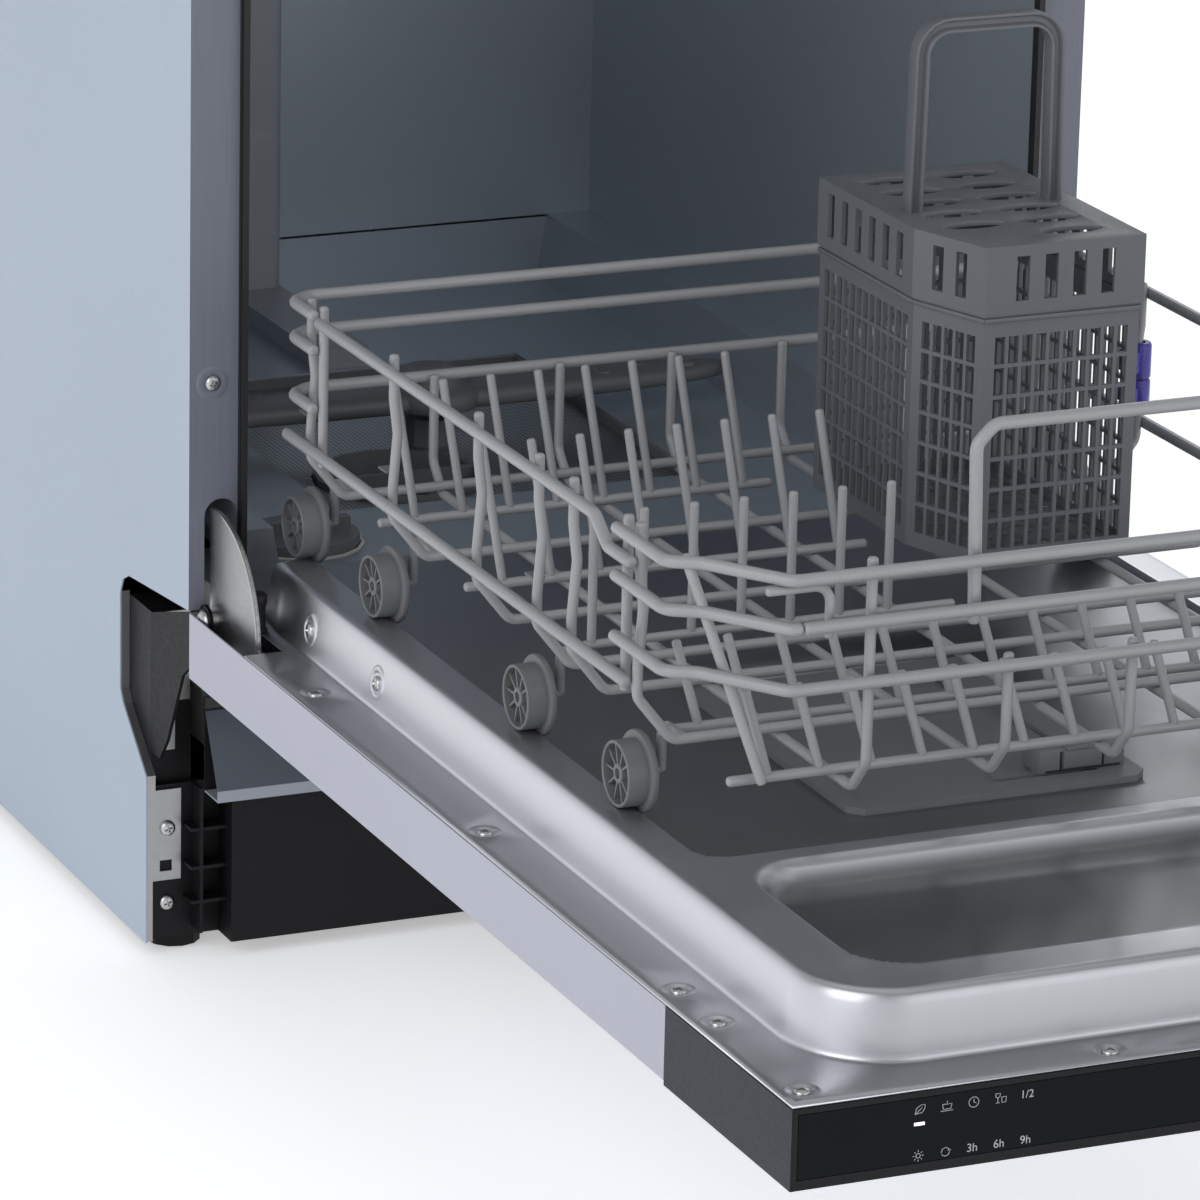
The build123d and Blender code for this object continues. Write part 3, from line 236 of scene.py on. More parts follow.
def liner_finish():
    """Satin steel, with painted shade in the sunk fields and toward the block's front wall."""
    net = steel_net("liner_steel", (0.66, 0.665, 0.7), 0.33, (1, 90, 90), 0.02, 0.03, 400.0, 0.04)
    # Painted shade: the colour darkens where the block's top sinks into the recess and the pool.
    painted_shade = net.span(net.part(2), 1, 0, (RAIL - 7) * MM, (RAIL - 0.5) * MM)
    painted_shade = net.math("MULTIPLY", painted_shade, net.between(0, -1, STRIP_IN + 1))
    painted_shade = net.math("MULTIPLY", painted_shade, net.between(1, -545, 40))
    # Painted shade: the colour also darkens toward the block's front wall.
    tone = net.mix(net.span(net.part(1), 1, 0, -0.563, -0.525), net.tone(), (0.43, 0.435, 0.46))
    net.set(Base_Color=net.mix(painted_shade, tone, (0.25, 0.252, 0.268)))
    return net.mat


FASCIA = (0.005, 0.0055, 0.007)


def console_finish():
    """Dark moulded head, with the same deep black as the fascia on its front."""
    net = moulded_net("console_black", (0.016, 0.018, 0.026), 0.45, 900.0, 0.06, 0.08, 0.2)
    front = net.between(1, -600, FACE_Y + FRONT_TO_ROW + 0.3)
    net.set(Base_Color=net.mix(front, net.tone(), FASCIA))
    return net.mat


def filter_finish():
    """Fine filter sheet: a grid of small dark holes in satin steel."""
    net, pitch = Net("filter_sheet"), 2.4
    cells = net.node("TexVoronoi", Vector=net.scaled(1, 1, 0), Scale=1000 / pitch, Randomness=0)
    hole = net.span(cells.outputs["Distance"], 1, 0, 0.24, 0.32)
    cloud = net.noise(14.0, 4.0)
    color = (0.5, 0.51, 0.53)
    tone = net.mix(net.span(cloud, 0, 1), shade(color, 0.92), shade(color, 1.06))
    net.set(Base_Color=net.mix(hole, tone, (0.02, 0.02, 0.022)), Metallic=net.span(hole, 1, 0, 0, 1))
    net.set(Roughness=net.span(cloud, 0.3, 0.42))
    net.bump(hole, 0.5, -0.0004)
    return net.mat


def lamp_finish():
    net = Net("status_lamp")
    glow = net.mix(net.span(net.noise(300.0), 0, 1), (0.95, 0.98, 1), (1, 1, 1))
    net.set(Base_Color=(0.9, 0.95, 1, 1), Emission_Color=glow, Emission_Strength=1.6, Roughness=0.3)
    return net.mat


M = {
    "cabinet_paint": cabinet_finish(),
    "door_paint": painted("door_enamel", (0.355, 0.362, 0.426)).mat,
    "kick_paint": kick_finish(),
    "hinge_zinc": hinge_finish(),
    "stainless": liner_finish(),
    "tub_steel": steel("tub_steel", (0.46, 0.5, 0.55), 0.36, (60, 1, 60), 0.02, 0.03, 400.0, 0.04, 0.7),
    "steel_bracket": steel("zinc_sheet", (0.38, 0.38, 0.385), 0.36, (8, 8, 20), 0.03, 0.05, 260.0, 0.05),
    "screw_steel": steel("bright_screw", (0.5, 0.5, 0.5), 0.28, (20, 20, 20), 0.05, 0.05),
    "base_plastic": moulded("black_base", (0.005, 0.005, 0.006), 0.5, 700.0, 0.15, 0.08, 0.2, 0.1),
    "console_plastic": console_finish(),
    "fascia_gloss": moulded("fascia_black", FASCIA, 0.32, 1400.0, 0.02, 0.05, 0.08, 0.02),
    "rack_coating": moulded("wire_coating", (0.27, 0.272, 0.285), 0.3, 2200.0, 0.02, 0.03, 0.5, 0.02),
    "wheel_plastic": moulded("wheel_grey", (0.135, 0.136, 0.142), 0.42, 800.0, 0.1),
    "basket_plastic": moulded("basket_grey", (0.118, 0.123, 0.136), 0.4, 800.0, 0.05, 0.06, 0.4, 0.1),
    "clip_plastic": moulded("clip_violet", (0.045, 0.03, 0.3), 0.28, 900.0, 0.05, 0.1, 0.5, 0.1),
    "seal_rubber": moulded("seal_rubber", (0.012, 0.012, 0.013), 0.55, 600.0, 0.2),
    "inner_plastic": moulded("inner_grey", (0.15, 0.153, 0.16), 0.4, 800.0, 0.1),
    "white_plastic": moulded("white_plastic", (0.62, 0.62, 0.6), 0.42, 800.0, 0.1, 0.04),
    "pump_black": moulded("pump_black", (0.02, 0.02, 0.021), 0.45, 700.0, 0.12),
    "spring_steel": steel("spring_steel", (0.4, 0.39, 0.37), 0.35, (1, 700, 1), 0.5, 0.05),
    "tube_grey": moulded("tube_grey", (0.36, 0.38, 0.41), 0.4, 800.0, 0.05),
    "filter": filter_finish(),
    "lamp": lamp_finish(),
    "print": moulded("fascia_print", (0.34, 0.35, 0.37), 0.5, 900.0, 0.02),
}


# Mesh helpers


def new_object(name, data, matrix=None):
    obj = bpy.data.objects.new(name, data)
    if matrix:
        obj.matrix_world = matrix
    bpy.context.scene.collection.objects.link(obj)
    return obj


def mesh_from(name, bm):
    mesh = bpy.data.meshes.new(name)
    bm.to_mesh(mesh)
    bm.free()
    return mesh


def piece(name, mesh, body, slot, material=None, smooth=True):
    obj = new_object(name, mesh)
    mesh.materials.append(M[material or slot])
    if smooth:
        mesh.shade_smooth()
    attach(obj, body)
    return obj


def soft_group():
    """Modifier nodes that smooth faces meeting at less than 35 degrees."""
    group = bpy.data.node_groups.new("soft_faces", "GeometryNodeTree")
    for way in ("INPUT", "OUTPUT"):
        group.interface.new_socket("Geometry", in_out=way, socket_type="NodeSocketGeometry")
    source, sink, faces, edges, corner, over = (group.nodes.new(kind) for kind in (
        "NodeGroupInput", "NodeGroupOutput", "GeometryNodeSetShadeSmooth", "GeometryNodeSetShadeSmooth",
        "GeometryNodeInputMeshEdgeAngle", "FunctionNodeCompare",
    ))
    edges.domain = "EDGE"
    edges.inputs["Shade Smooth"].default_value = False
    over.operation = "GREATER_THAN"
    over.inputs[1].default_value = math.radians(35)
    for a, b in (
        (source.outputs[0], faces.inputs["Geometry"]), (faces.outputs[0], edges.inputs["Geometry"]),
        (corner.outputs["Unsigned Angle"], over.inputs[0]), (over.outputs[0], edges.inputs["Selection"]),
        (edges.outputs[0], sink.inputs[0]),
    ):
        group.links.new(a, b)
    return group


SOFT = soft_group()


def smooth_round(obj):
    obj.modifiers.new("soft", "NODES").node_group = SOFT


def soften(obj, width):
    """Rounded edges and smooth round faces, as modifiers."""
    bevel = obj.modifiers.new("edges", "BEVEL")
    bevel.width = width * MM
    bevel.segments = 2
    bevel.limit_method = "ANGLE"
    bevel.angle_limit = math.radians(40)
    smooth_round(obj)


def thicken(obj, thickness):
    """Gives a surface its sheet's thickness, below it."""
    sheet = obj.modifiers.new("thickness", "SOLIDIFY")
    sheet.thickness, sheet.offset = thickness * MM, -1


def rounded(points, radius):
    """The points of a run of wire with its corners turned into arcs."""
    points = [Vector(p) for p in points]
    out = [points[0]]
    for before, corner, after in zip(points, points[1:], points[2:]):
        u, v = (before - corner).normalized(), (after - corner).normalized()
        turn = math.pi - u.angle(v)
        if turn < 0.05:
            out.append(corner)
            continue
        room = 0.48 * min((before - corner).length, (after - corner).length)
        reach = min(radius * math.tan(turn / 2), room)
        r = reach / math.tan(turn / 2)
        start, axis = corner + u * reach, u.cross(v).normalized()
        middle = corner + (u + v).normalized() * (r / math.cos(turn / 2))
        steps = max(2, math.ceil(math.degrees(turn) / 15))
        for k in range(steps + 1):
            out.append(middle + Matrix.Rotation(-turn * k / steps, 3, axis) @ (start - middle))
    out.append(points[-1])
    return out


def skin(bm, rings):
    """Joins a run of rings into one closed form with flat ends."""
    for a, b in zip(rings, rings[1:]):
        for k in range(len(a)):
            n = (k + 1) % len(a)
            bm.faces.new((a[k], a[n], b[n], b[k]))
    bm.faces.new(rings[0][::-1])
    bm.faces.new(rings[-1])


def add_tube(bm, path, r, sides=10, dome=True):
    """A round bar along the points, with domed or flat ends."""
    path = [Vector(p) for p in path]
    first, last = (path[1] - path[0]).normalized(), (path[-1] - path[-2]).normalized()
    caps = ((0.35, 0.0), (0.75, 0.12), (0.95, 0.4)) if dome else ()
    stations = [(path[0] + first * (s * r), k * r, first) for k, s in caps]
    stations.append((path[0] + first * ((0.8 if dome else 0) * r), r, first))
    for before, here, after in zip(path, path[1:], path[2:]):
        stations.append((here, r, ((here - before).normalized() + (after - here).normalized()).normalized()))
    stations.append((path[-1] - last * ((0.8 if dome else 0) * r), r, last))
    stations += [(path[-1] - last * (s * r), k * r, last) for k, s in reversed(caps)]
    side = first.orthogonal().normalized()
    rings = []
    for centre, radius, heading in stations:
        side = (side - heading * side.dot(heading)).normalized()
        other = heading.cross(side)
        rings.append([
            bm.verts.new(centre + (side * math.cos(t) + other * math.sin(t)) * radius)
            for t in (2 * math.pi * k / sides for k in range(sides))
        ])
    skin(bm, rings)


BEND = 7 * MM


def wires(name, runs, body, slot="rack_coating", material=None):
    """One piece of wires: runs of (points in mm, diameter)."""
    bm = bmesh.new()
    for points, diameter in runs:
        add_tube(bm, rounded([at(*p) for p in points], BEND), diameter / 2 * MM)
    return piece(name, mesh_from(name, bm), body, slot, material)


def lathe(bm, profile, matrix=Matrix.Identity(4), sides=40, closed=False):
    """A turned form: (radius, height) in mm, about the matrix's Z."""
    rings = []
    for r, h in profile:
        if r < 1e-6:
            rings.append([bm.verts.new(matrix @ Vector((0, 0, h * MM)))])
            continue
        rings.append([
            bm.verts.new(matrix @ Vector((r * MM * math.cos(t), r * MM * math.sin(t), h * MM)))
            for t in (2 * math.pi * k / sides for k in range(sides))
        ])
    pairs = list(zip(rings, rings[1:])) + ([(rings[-1], rings[0])] if closed else [])
    for a, b in pairs:
        for k in range(sides):
            n = (k + 1) % sides
            corner = [a[0]] if len(a) == 1 else [a[k], a[n]]
            corner += [b[0]] if len(b) == 1 else [b[n], b[k]]
            bm.faces.new(corner)


def add_box(bm, x0, x1, y0, y1, z0, z1, spin=None):
    """A block between two corners in mm, or one turned about the mesh's own origin."""
    corners = [(x, y, z) for x in (x0, x1) for y in (y0, y1) for z in (z0, z1)]
    v = [bm.verts.new(spin @ (Vector(c) * MM) if spin else at(*c)) for c in corners]
    for f in ((0, 1, 3, 2), (4, 6, 7, 5), (0, 4, 5, 1), (2, 3, 7, 6), (0, 2, 6, 4), (1, 5, 7, 3)):
        bm.faces.new([v[k] for k in f])


def from_bm(name, bm, body, slot, material=None, smooth=True):
    bmesh.ops.recalc_face_normals(bm, faces=bm.faces)
    return piece(name, mesh_from(name, bm), body, slot, material, smooth)


def aim(x, y, z, axis=(0, 0, 1)):
    """A matrix at a point in mm, with its Z along the axis."""
    return Matrix.Translation(at(x, y, z)) @ Vector(axis).to_track_quat("Z", "Y").to_matrix().to_4x4()


# Door liner


def slope_in(distance, width=2.6):
    t = max(0.0, min(1.0, distance / width))
    return t * t * (3 - 2 * t)


def rounded_rect(x, y, cx, cy, hx, hy, r):
    """Signed distance to a rectangle with round corners, negative inside."""
    qx, qy = abs(x - cx) - hx + r, abs(y - cy) - hy + r
    return min(max(qx, qy), 0) + math.hypot(max(qx, 0), max(qy, 0)) - r


def liner_height(x, y):
    """The top of the block: a recess that starts at the rear and deepens into the front pool."""
    field = -rounded_rect(x, y, 0, -55, STRIP_IN, 400, 16)
    pool = -rounded_rect(x, y, 0, POOL_MID, POOL_HALF, POOL_LONG, 28)
    deep = STEP + (POOL - STEP) * slope_in(-458 - y, 30)
    return RAIL - max(STEP * slope_in(field + 0.6), deep * slope_in(pool, 8))


def block_distance(x, y, inset):
    """Signed distance to the block's outline, moved inward by the inset."""
    r = max(1.5, (BASE_R if y < -300 else REAR_R) - inset)
    return rounded_rect(x, y, 0, BLOCK_MID, BLOCK_HALF - inset, BLOCK_LONG - inset, r)


def block_ring(px, py, inset):
    """Where the line outward through a point meets the block's outline at an inset."""
    if abs(px) > 155 and py < FRONT + 42:
        anchor = (math.copysign(155, px), FRONT + 42)
    elif abs(px) > 163 and py > -46:
        anchor = (math.copysign(163, px), -46)
    elif abs(px) > 176.9:
        anchor = (0, py)
    else:
        anchor = (px, -300)
    dx, dy = px - anchor[0], py - anchor[1]
    size = math.hypot(dx, dy)
    dx, dy = dx / size, dy / size
    low, high = 0.0, 360.0
    for _ in range(40):
        t = (low + high) / 2
        x, y = anchor[0] + dx * t, anchor[1] + dy * t
        if block_distance(x, y, inset) < 0:
            low = t
        else:
            high = t
    return x, y


FOOT = 1.7
RIM = (
    (-FOOT, 0), (-1.3, 0.15), (-0.9, 0.5), (-0.55, 1.1), (-0.3, 2.0), (-0.05, 3.6), (0.3, 7), (1.1, 12.5), (2.1, 18),
    (2.9, 22), (3.5, 24.2), (4.4, 25.9), (5.8, 27.0), (7.4, 27.45), (9, 27.5),
)
SCREW_X = 213
SCREWS = [(s * SCREW_X, y) for s in (-1, 1) for y in (-130, -323, -519, -556, -632)]
SCREWS += [(-84, -636), (84, -636)]
FOLD_ZS = (107, 330, 560)
SLOT = (-18, 18, -640, -622)
HINGE_X, HINGE_Y = 204.5, -70
DISPENSER = (-85, 45, -412, -252)


def dimple(x, y):
    """Height of the flange, pressed in round each screw."""
    for sx, sy in SCREWS:
        d = math.hypot(x - sx, y - sy)
        if 6 < d < 8.6:
            return DOOR + 0.35 * math.sin(math.pi * min(1, (8.5 - d) / 2.5))
        if d <= 6:
            return DOOR - 0.9 * slope_in(6 - d, 2.2)
    return DOOR


def liner():
    spots = [0, 12, 24, 36, 48, 60, 72, 85, 96, 104, 110, 115, 119, 122, 125, 128, 130.5, 133, 135.5, 138, 140.5,
             143, 145, 147, 149, 151, 153, 155, 157.5, 159, 161, 163, 165, 167, 169, 171.4, 172.3, 173, 173.8, 174.4,
             175, 176, 177]
    xs = sorted({s * v for s in (-1, 1) for v in spots} | {-85.0, 45.0})
    ys = [FRONT + 18 + 2 * k for k in range(22)]
    ys += [-556, -550, -543, -536, -528, -520, -512, -505, -499, -494.5] + [-489.5 + 2.5 * k for k in range(13)]
    ys += [-457.5, -456.2, -455.4, -454.6, -453.8, -453, -452, -450, -447.5, -445, -442, -438, -432, -422, -412]
    ys += [-380, -340, -300, -252, -200, -150, -100, -60, -46, -36, -28]
    verts = [(x, y, liner_height(x, y)) for y in ys for x in xs]
    index = {(x, y): k for k, (x, y) in enumerate((x, y) for y in ys for x in xs)}
    faces = []
    x0, x1, y0, y1 = DISPENSER
    for ya, yb in zip(ys, ys[1:]):
        for xa, xb in zip(xs, xs[1:]):
            if x0 <= xa < x1 and y0 <= ya < y1:
                continue
            faces.append((index[xa, ya], index[xb, ya], index[xb, yb], index[xa, yb]))
    around = [(x, ys[0]) for x in xs] + [(xs[-1], y) for y in ys[1:]]
    around += [(x, ys[-1]) for x in reversed(xs[:-1])] + [(xs[0], y) for y in reversed(ys[1:-1])]
    inner = [index[p] for p in around]
    for inset, height in reversed(RIM):
        ring = []
        for px, py in around:
            x, y = block_ring(px, py, inset)
            ring.append(len(verts))
            verts.append((x, y, min(DOOR + height, liner_height(x, y) if y > -60 else 999)))
        for k in range(len(around)):
            n = (k + 1) % len(around)
            faces.append((ring[k], ring[n], inner[n], inner[k]))
        inner = ring
    edge, near = 223.6, FACE_Y + 0.6
    outline = [(-edge, near), (edge, near), (edge, HINGE_Y), (HINGE_X, HINGE_Y), (HINGE_X, -1), (-HINGE_X, -1),
               (-HINGE_X, HINGE_Y), (-edge, HINGE_Y)]
    left, right, low, high = SLOT
    rounds = [[verts[k][:2] for k in inner], outline, [(left, low), (right, low), (right, high), (left, high)]]
    flat, loops = [], []
    for line in rounds:
        start, n = len(flat), len(line)
        flat += line
        loops += [(start + k, start + (k + 1) % n) for k in range(n)]
    for sx, sy in SCREWS:
        for r in (2.5, 3.6, 4.4, 5.2, 6, 6.6, 7.2, 7.9, 8.5):
            flat += [(sx + r * math.cos(t), sy + r * math.sin(t)) for t in (math.pi * k / 10 for k in range(20))]
    flat += [(s * 218.5, y) for s in (-1, 1) for y in range(-640, HINGE_Y, 30)]
    points, _, tris, source, _, _ = delaunay_2d_cdt([Vector(p) for p in flat], loops, [], 0, 1e-4)
    placed = {}
    for k, p in enumerate(points):
        origin = source[k][0] if source[k] else None
        if origin is not None and origin < len(inner):
            placed[k] = inner[origin]
        else:
            placed[k] = len(verts)
            verts.append((p.x, p.y, dimple(p.x, p.y)))
    for tri in tris:
        cx, cy = (sum(points[k][a] for k in tri) / 3 for a in (0, 1))
        in_slot = left < cx < right and low < cy < high
        if block_distance(cx, cy, -FOOT) < 0 or in_slot or (abs(cx) > HINGE_X and cy > HINGE_Y):
            continue
        faces.append(tuple(placed[k] for k in tri))
    bm = bmesh.new()
    made = [bm.verts.new(at(*v)) for v in verts]
    for f in faces:
        try:
            bm.faces.new([made[k] for k in f])
        except ValueError:
            pass
    loose = [v for v in bm.verts if not v.link_faces]
    bmesh.ops.delete(bm, geom=loose, context="VERTS")
    bmesh.ops.recalc_face_normals(bm, faces=bm.faces)
    if sum(f.normal.z * f.calc_area() for f in bm.faces) < 0:
        bmesh.ops.reverse_faces(bm, faces=bm.faces)
    obj = piece("liner_sheet", mesh_from("liner_sheet", bm), "door", "stainless")
    thicken(obj, 0.9)
    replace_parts(obj, "door_liner")


# Screws: one pan head with a cross recess


def cross_head(name, radius, height, recess):
    bm = bmesh.new()
    crown = ((1, 0.15), (0.97, 0.45), (0.86, 0.75), (0.62, 0.93), (0.3, 1), (0, 1))
    lathe(bm, [(0, -0.6), (radius, -0.6)] + [(radius * a, height * b) for a, b in crown], sides=32)
    bmesh.ops.recalc_face_normals(bm, faces=bm.faces)
    head = new_object(name, mesh_from(name, bm))
    bm = bmesh.new()
    for turn in (0, 90):
        spin = Matrix.Rotation(math.radians(turn + 20), 4, "Z")
        w, l = 0.11 * radius, recess
        levels = ((l * 0.55, w * 0.8, height - height * 0.55), (l, w, height + 0.4))
        skin(bm, [[bm.verts.new(spin @ (Vector((x, y, z)) * MM)) for x, y in ((-a, -b), (a, -b), (a, b), (-a, b))]
                  for a, b, z in levels])
    bmesh.ops.recalc_face_normals(bm, faces=bm.faces)
    tool = new_object(name + "_tool", mesh_from(name + "_recess", bm))
    cut = head.modifiers.new("cut", "BOOLEAN")
    cut.operation, cut.object, cut.solver, cut.use_self = "DIFFERENCE", tool, "EXACT", True
    mesh = bpy.data.meshes.new_from_object(head.evaluated_get(bpy.context.evaluated_depsgraph_get()))
    mesh.materials.append(M["screw_steel"])
    for obj in (head, tool):
        bpy.data.objects.remove(obj)
    return mesh


def placed_copy(name, mesh, matrix, body):
    """A shared mesh set in place, with its round faces smoothed."""
    obj = new_object(name, mesh, matrix)
    smooth_round(obj)
    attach(obj, body)
    return obj


def screw(name, mesh, x, y, z, axis, body):
    return placed_copy(name, mesh, aim(x, y, z, axis), body)


def turned(name, profile, matrix, sides, body, slot, material=None):
    """One turned piece."""
    bm = bmesh.new()
    lathe(bm, profile, matrix, sides)
    from_bm(name, bm, body, slot, material)


def screws():
    flange = cross_head("flange_screw", 3.4, 1.7, 1.9)
    pan = cross_head("pan_screw", 3.8, 2.4, 2.3)
    for k, (x, y) in enumerate(SCREWS):
        obj = screw(f"door_screw_{k}", flange, x, y, DOOR - 0.9, (0, 0, 1), "door")
        if k == 0:
            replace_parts(obj, "door_screws")
    for k, (side, y) in enumerate((s, y) for s in (-1, 1) for y in (-80, -160)):
        x, z, out = side * 196.1, DOOR + 12, (side, 0, 0.12)
        ring = [(0, -0.2), (4.2, 0.1), (5.6, 0.9), (6.6, 1.1), (7.6, 0.7), (8.6, -0.3)]
        turned(f"wall_dimple_{k}", ring, aim(x - side * 0.7, y, z, out), 32, "door", "stainless")
        screw(f"wall_screw_{k}", flange, x - side * 0.3, y, z, out, "door")
    places = [(s * SCREW_X, 0, DOOR + z) for s in (-1, 1) for z in FOLD_ZS]
    places += [(s * 213.3, 56, 63) for s in (-1, 1)] + [(s * 213.1, 57.4, 25.5) for s in (-1, 1)]
    places += [(s * 206, 60.4, DOOR - 45.5) for s in (-1, 1)]
    for k, (x, y, z) in enumerate(places):
        obj = screw(f"cabinet_screw_{k}", pan, x, y, z, (0, -1, 0), "cabinet")
        if k == 0:
            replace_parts(obj, "cabinet_screws")


# Wheels


def wheel_mesh():
    """Grey wheel: rim with thin ribs, hub, and a guide flange inboard. Z is outboard."""
    bm = bmesh.new()
    profile = [(2.3, 0), (2.3, 11.4), (3.9, 11.4), (4.3, 11.0), (4.6, 5.6), (12.3, 5.6), (12.5, 12.0), (12.9, 12.4),
               (13.6, 12.4), (14, 12.0), (14.2, 3.2), (16.6, 3.2), (17.2, 2.9), (17.5, 2.3), (17.5, 0.7), (17.1, 0.1),
               (16.5, 0)]
    lathe(bm, profile, sides=56, closed=True)
    for k in range(10):
        # Without a turn the first rib lands FRONT_TO_ROW off the wheel, a known fault.
        spin = Matrix.Rotation(math.radians(36 * k), 4, "Z") if k else None
        add_box(bm, 4.0, 12.7, -0.45, 0.45, 5.0, 10.8, spin)
    bmesh.ops.recalc_face_normals(bm, faces=bm.faces)
    mesh = mesh_from("rack_wheel", bm)
    mesh.materials.append(M["wheel_plastic"])
    return mesh


def wheels():
    mesh = wheel_mesh()
    for side, sign in (("left", -1), ("right", 1)):
        for k, y in enumerate(WHEEL_YS, 1):
            place = aim(sign * 169.6, y, WHEEL_Z, (sign, 0, 0))
            node = f"rack_wheel_{side}_{k}"
            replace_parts(placed_copy(f"wheel_{side}_{k}", mesh, place, node), node)


# Racks

WIRE, THIN, TINE = 5.5, 4.5, 4.0
SIDE, RIM_Z, LOW_Z, CROSS_Z = 188, DOOR + 150, DOOR + 89, DOOR + 62
FRONT_Z = (DOOR + 152.7, DOOR + 132.7, DOOR + 107.2)
RACK_FRONT, RACK_REAR = -490, -28
CROSS_YS = (-46, -144, -239, -304, -340, -407)
IN_X = SIDE - WIRE / 2 - THIN / 2 + 0.2
IN_Y = RACK_FRONT + WIRE / 2 + THIN / 2 - 0.1
UNDER_Z = CROSS_Z - THIN + 0.2


def mirrored(points):
    return [(-x, y, z) for x, y, z in points]


def both(points, diameter):
    return [(points, diameter), (mirrored(points), diameter)]


def around_middle(points):
    return points + [(-x, y, z) for x, y, z in reversed(points)]


def lower_rack():
    step = RIM_Z - 10
    runs = both([(-SIDE, -66, RIM_Z), (-SIDE, -372, RIM_Z), (-SIDE, -386, step), (-SIDE, -410, step)], WIRE)
    runs += both([(-SIDE, RACK_REAR, LOW_Z), (-SIDE, -407, LOW_Z)], WIRE)
    turns = [(-191, -399), (-191, -449), (-178.5, -456), (-154.5, RACK_FRONT)]
    for z in (FRONT_Z[0], FRONT_Z[2]):
        runs.append((around_middle([(x, y, z) for x, y in turns]), WIRE))
    runs += both([(x, y, FRONT_Z[1]) for x, y in turns] + [(-150.2, RACK_FRONT, FRONT_Z[1])], WIRE)
    for z in (RIM_Z + 2, RIM_Z - 14, LOW_Z + 20):
        runs.append((around_middle([(SIDE, -62, z), (SIDE, -36, z), (SIDE - 10, RACK_REAR, z)]), WIRE))
    for y in CROSS_YS:
        high = [(IN_X, y, RIM_Z + 6), (IN_X, y, RIM_Z - 14), (IN_X - 2, y, RIM_Z - 30), (IN_X, y, LOW_Z + 6),
                (IN_X, y, CROSS_Z + 20), (IN_X - 16, y, CROSS_Z)]
        runs.append((around_middle(high), THIN))
    for y in (-61, -395):
        runs += both([(IN_X, y, RIM_Z + 6), (IN_X, y, LOW_Z - 8)], THIN)
    runs += both([(-184, -451, FRONT_Z[0] + 3), (-156, -470, CROSS_Z)], THIN)
    rear = RACK_REAR - WIRE / 2 - THIN / 2 + 0.1
    for x in (-118, -56, 0, 56, 118):
        top = FRONT_Z[0] + 5 if abs(x) == 118 else FRONT_Z[2] + 4
        runs.append(([(x, IN_Y, top), (x, IN_Y, UNDER_Z + 14), (x, IN_Y + 12, UNDER_Z), (x, rear - 12, UNDER_Z),
                      (x, rear, UNDER_Z + 12), (x, rear, LOW_Z + 22)], THIN))
    for y, end, tall in ((-462, 168, 36), (-395, 168, 36), (-190, 25, 62), (-90, 25, 62)):
        runs.append(([(-168, y, CROSS_Z), (end, y, CROSS_Z)], THIN))
        for x in range(-150, int(end) - 7, 23):
            runs.append(([(x, y, CROSS_Z + 0.5), (x - 8, y + 7, CROSS_Z + tall)], TINE))
    x = -161.5
    for y in WHEEL_YS:
        near = min(CROSS_YS, key=lambda cross: abs(cross - y))
        runs += both([(-179, y, WHEEL_Z), (x + 1, y, WHEEL_Z)], TINE)
        runs += both([(x, y, RAIL + 13), (x, y, CROSS_Z), (x, near, CROSS_Z)], THIN)
    y, low, high = RACK_FRONT + WIRE - 0.1, FRONT_Z[1] - 8, DOOR + 207
    runs.append((around_middle([(72, y, low), (74, y, high - 8), (66, y, high)]), WIRE))
    runs += both([(-164, y, FRONT_Z[0] - 5), (-136, y, FRONT_Z[0] - 5), (-136, y, FRONT_Z[1] - 7)], TINE)
    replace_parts(wires("rack_wires", runs, "lower_rack"), "lower_rack_frame")
    rail = [([(-150, RACK_FRONT - 0.5, FRONT_Z[1]), (150, RACK_FRONT - 0.5, FRONT_Z[1])], WIRE)]
    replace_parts(wires("rack_front_rail", rail, "front_rail"), "lower_rack_front_rail")
    z = CROSS_Z + THIN / 2 + TINE / 2 + 0.6
    runs = [([(-158, -295, z), (16, -295, z)], TINE)]
    runs += [([(-154 + 23 * k, -295, z), (-154 + 23 * k, -295, z + 58)], TINE) for k in range(7)]
    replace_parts(wires("rack_folding_row", runs, "folding_tines"), "folding_tines")


UP_FLOOR = DOOR + 464


def upper_rack():
    floor, rim, half, y0, y1 = UP_FLOOR, DOOR + 572, 176, 30, 482
    runs = []
    for z in (rim, floor + 30):
        runs.append(([(0, y1, z), (half, y1, z), (half, y0, z), (-half, y0, z), (-half, y1, z), (0, y1, z)], THIN))
    side = half - 3.5
    for y in (60, 130, 200, 310, 380, 450):
        runs.append((around_middle([(side, y, rim + 3), (side, y, floor + 14), (side - 16, y, floor)]), THIN))
    for x in (-120, -60, 0, 60, 120):
        runs.append(([(x, y0 + 3.5, rim + 2), (x, y0 + 3.5, floor + 14), (x, y0 + 16, floor + 3.6),
                      (x, y1 - 16, floor + 3.6), (x, y1 - 3.5, floor + 14), (x, y1 - 3.5, rim + 2)], THIN))
    for y in (130, 200, 310, 380):
        runs += [([(x, y, floor + 1), (x, y + 8, floor + 55)], TINE) for x in (-90, -30, 30, 90)]
    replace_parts(wires("upper_wires", runs, "upper_rack"), "upper_rack_wires")


# Cutlery basket


def inset(outline, depth):
    """The outline moved inward, with its corners mitred."""
    out = []
    for before, here, after in zip(outline[-1:] + outline[:-1], outline, outline[1:] + outline[:1]):
        here = Vector(here)
        a, b = (here - Vector(before)).normalized(), (Vector(after) - here).normalized()
        na, nb = Vector((-a.y, a.x)), Vector((-b.y, b.x))
        out.append(tuple(here + (na + nb) * (depth / (1 + na.dot(nb)))))
    return out


def walls(bm, outline, z0, z1, thick, openings):
    """A ring of moulded walls; openings(length) gives each one's (along, from z, to z, width)."""
    inner = inset(outline, thick)
    for k, p in enumerate(outline):
        n = (k + 1) % len(outline)
        panel(bm, p, outline[n], inner[k], inner[n], z0, z1, openings(math.dist(p, outline[n])))


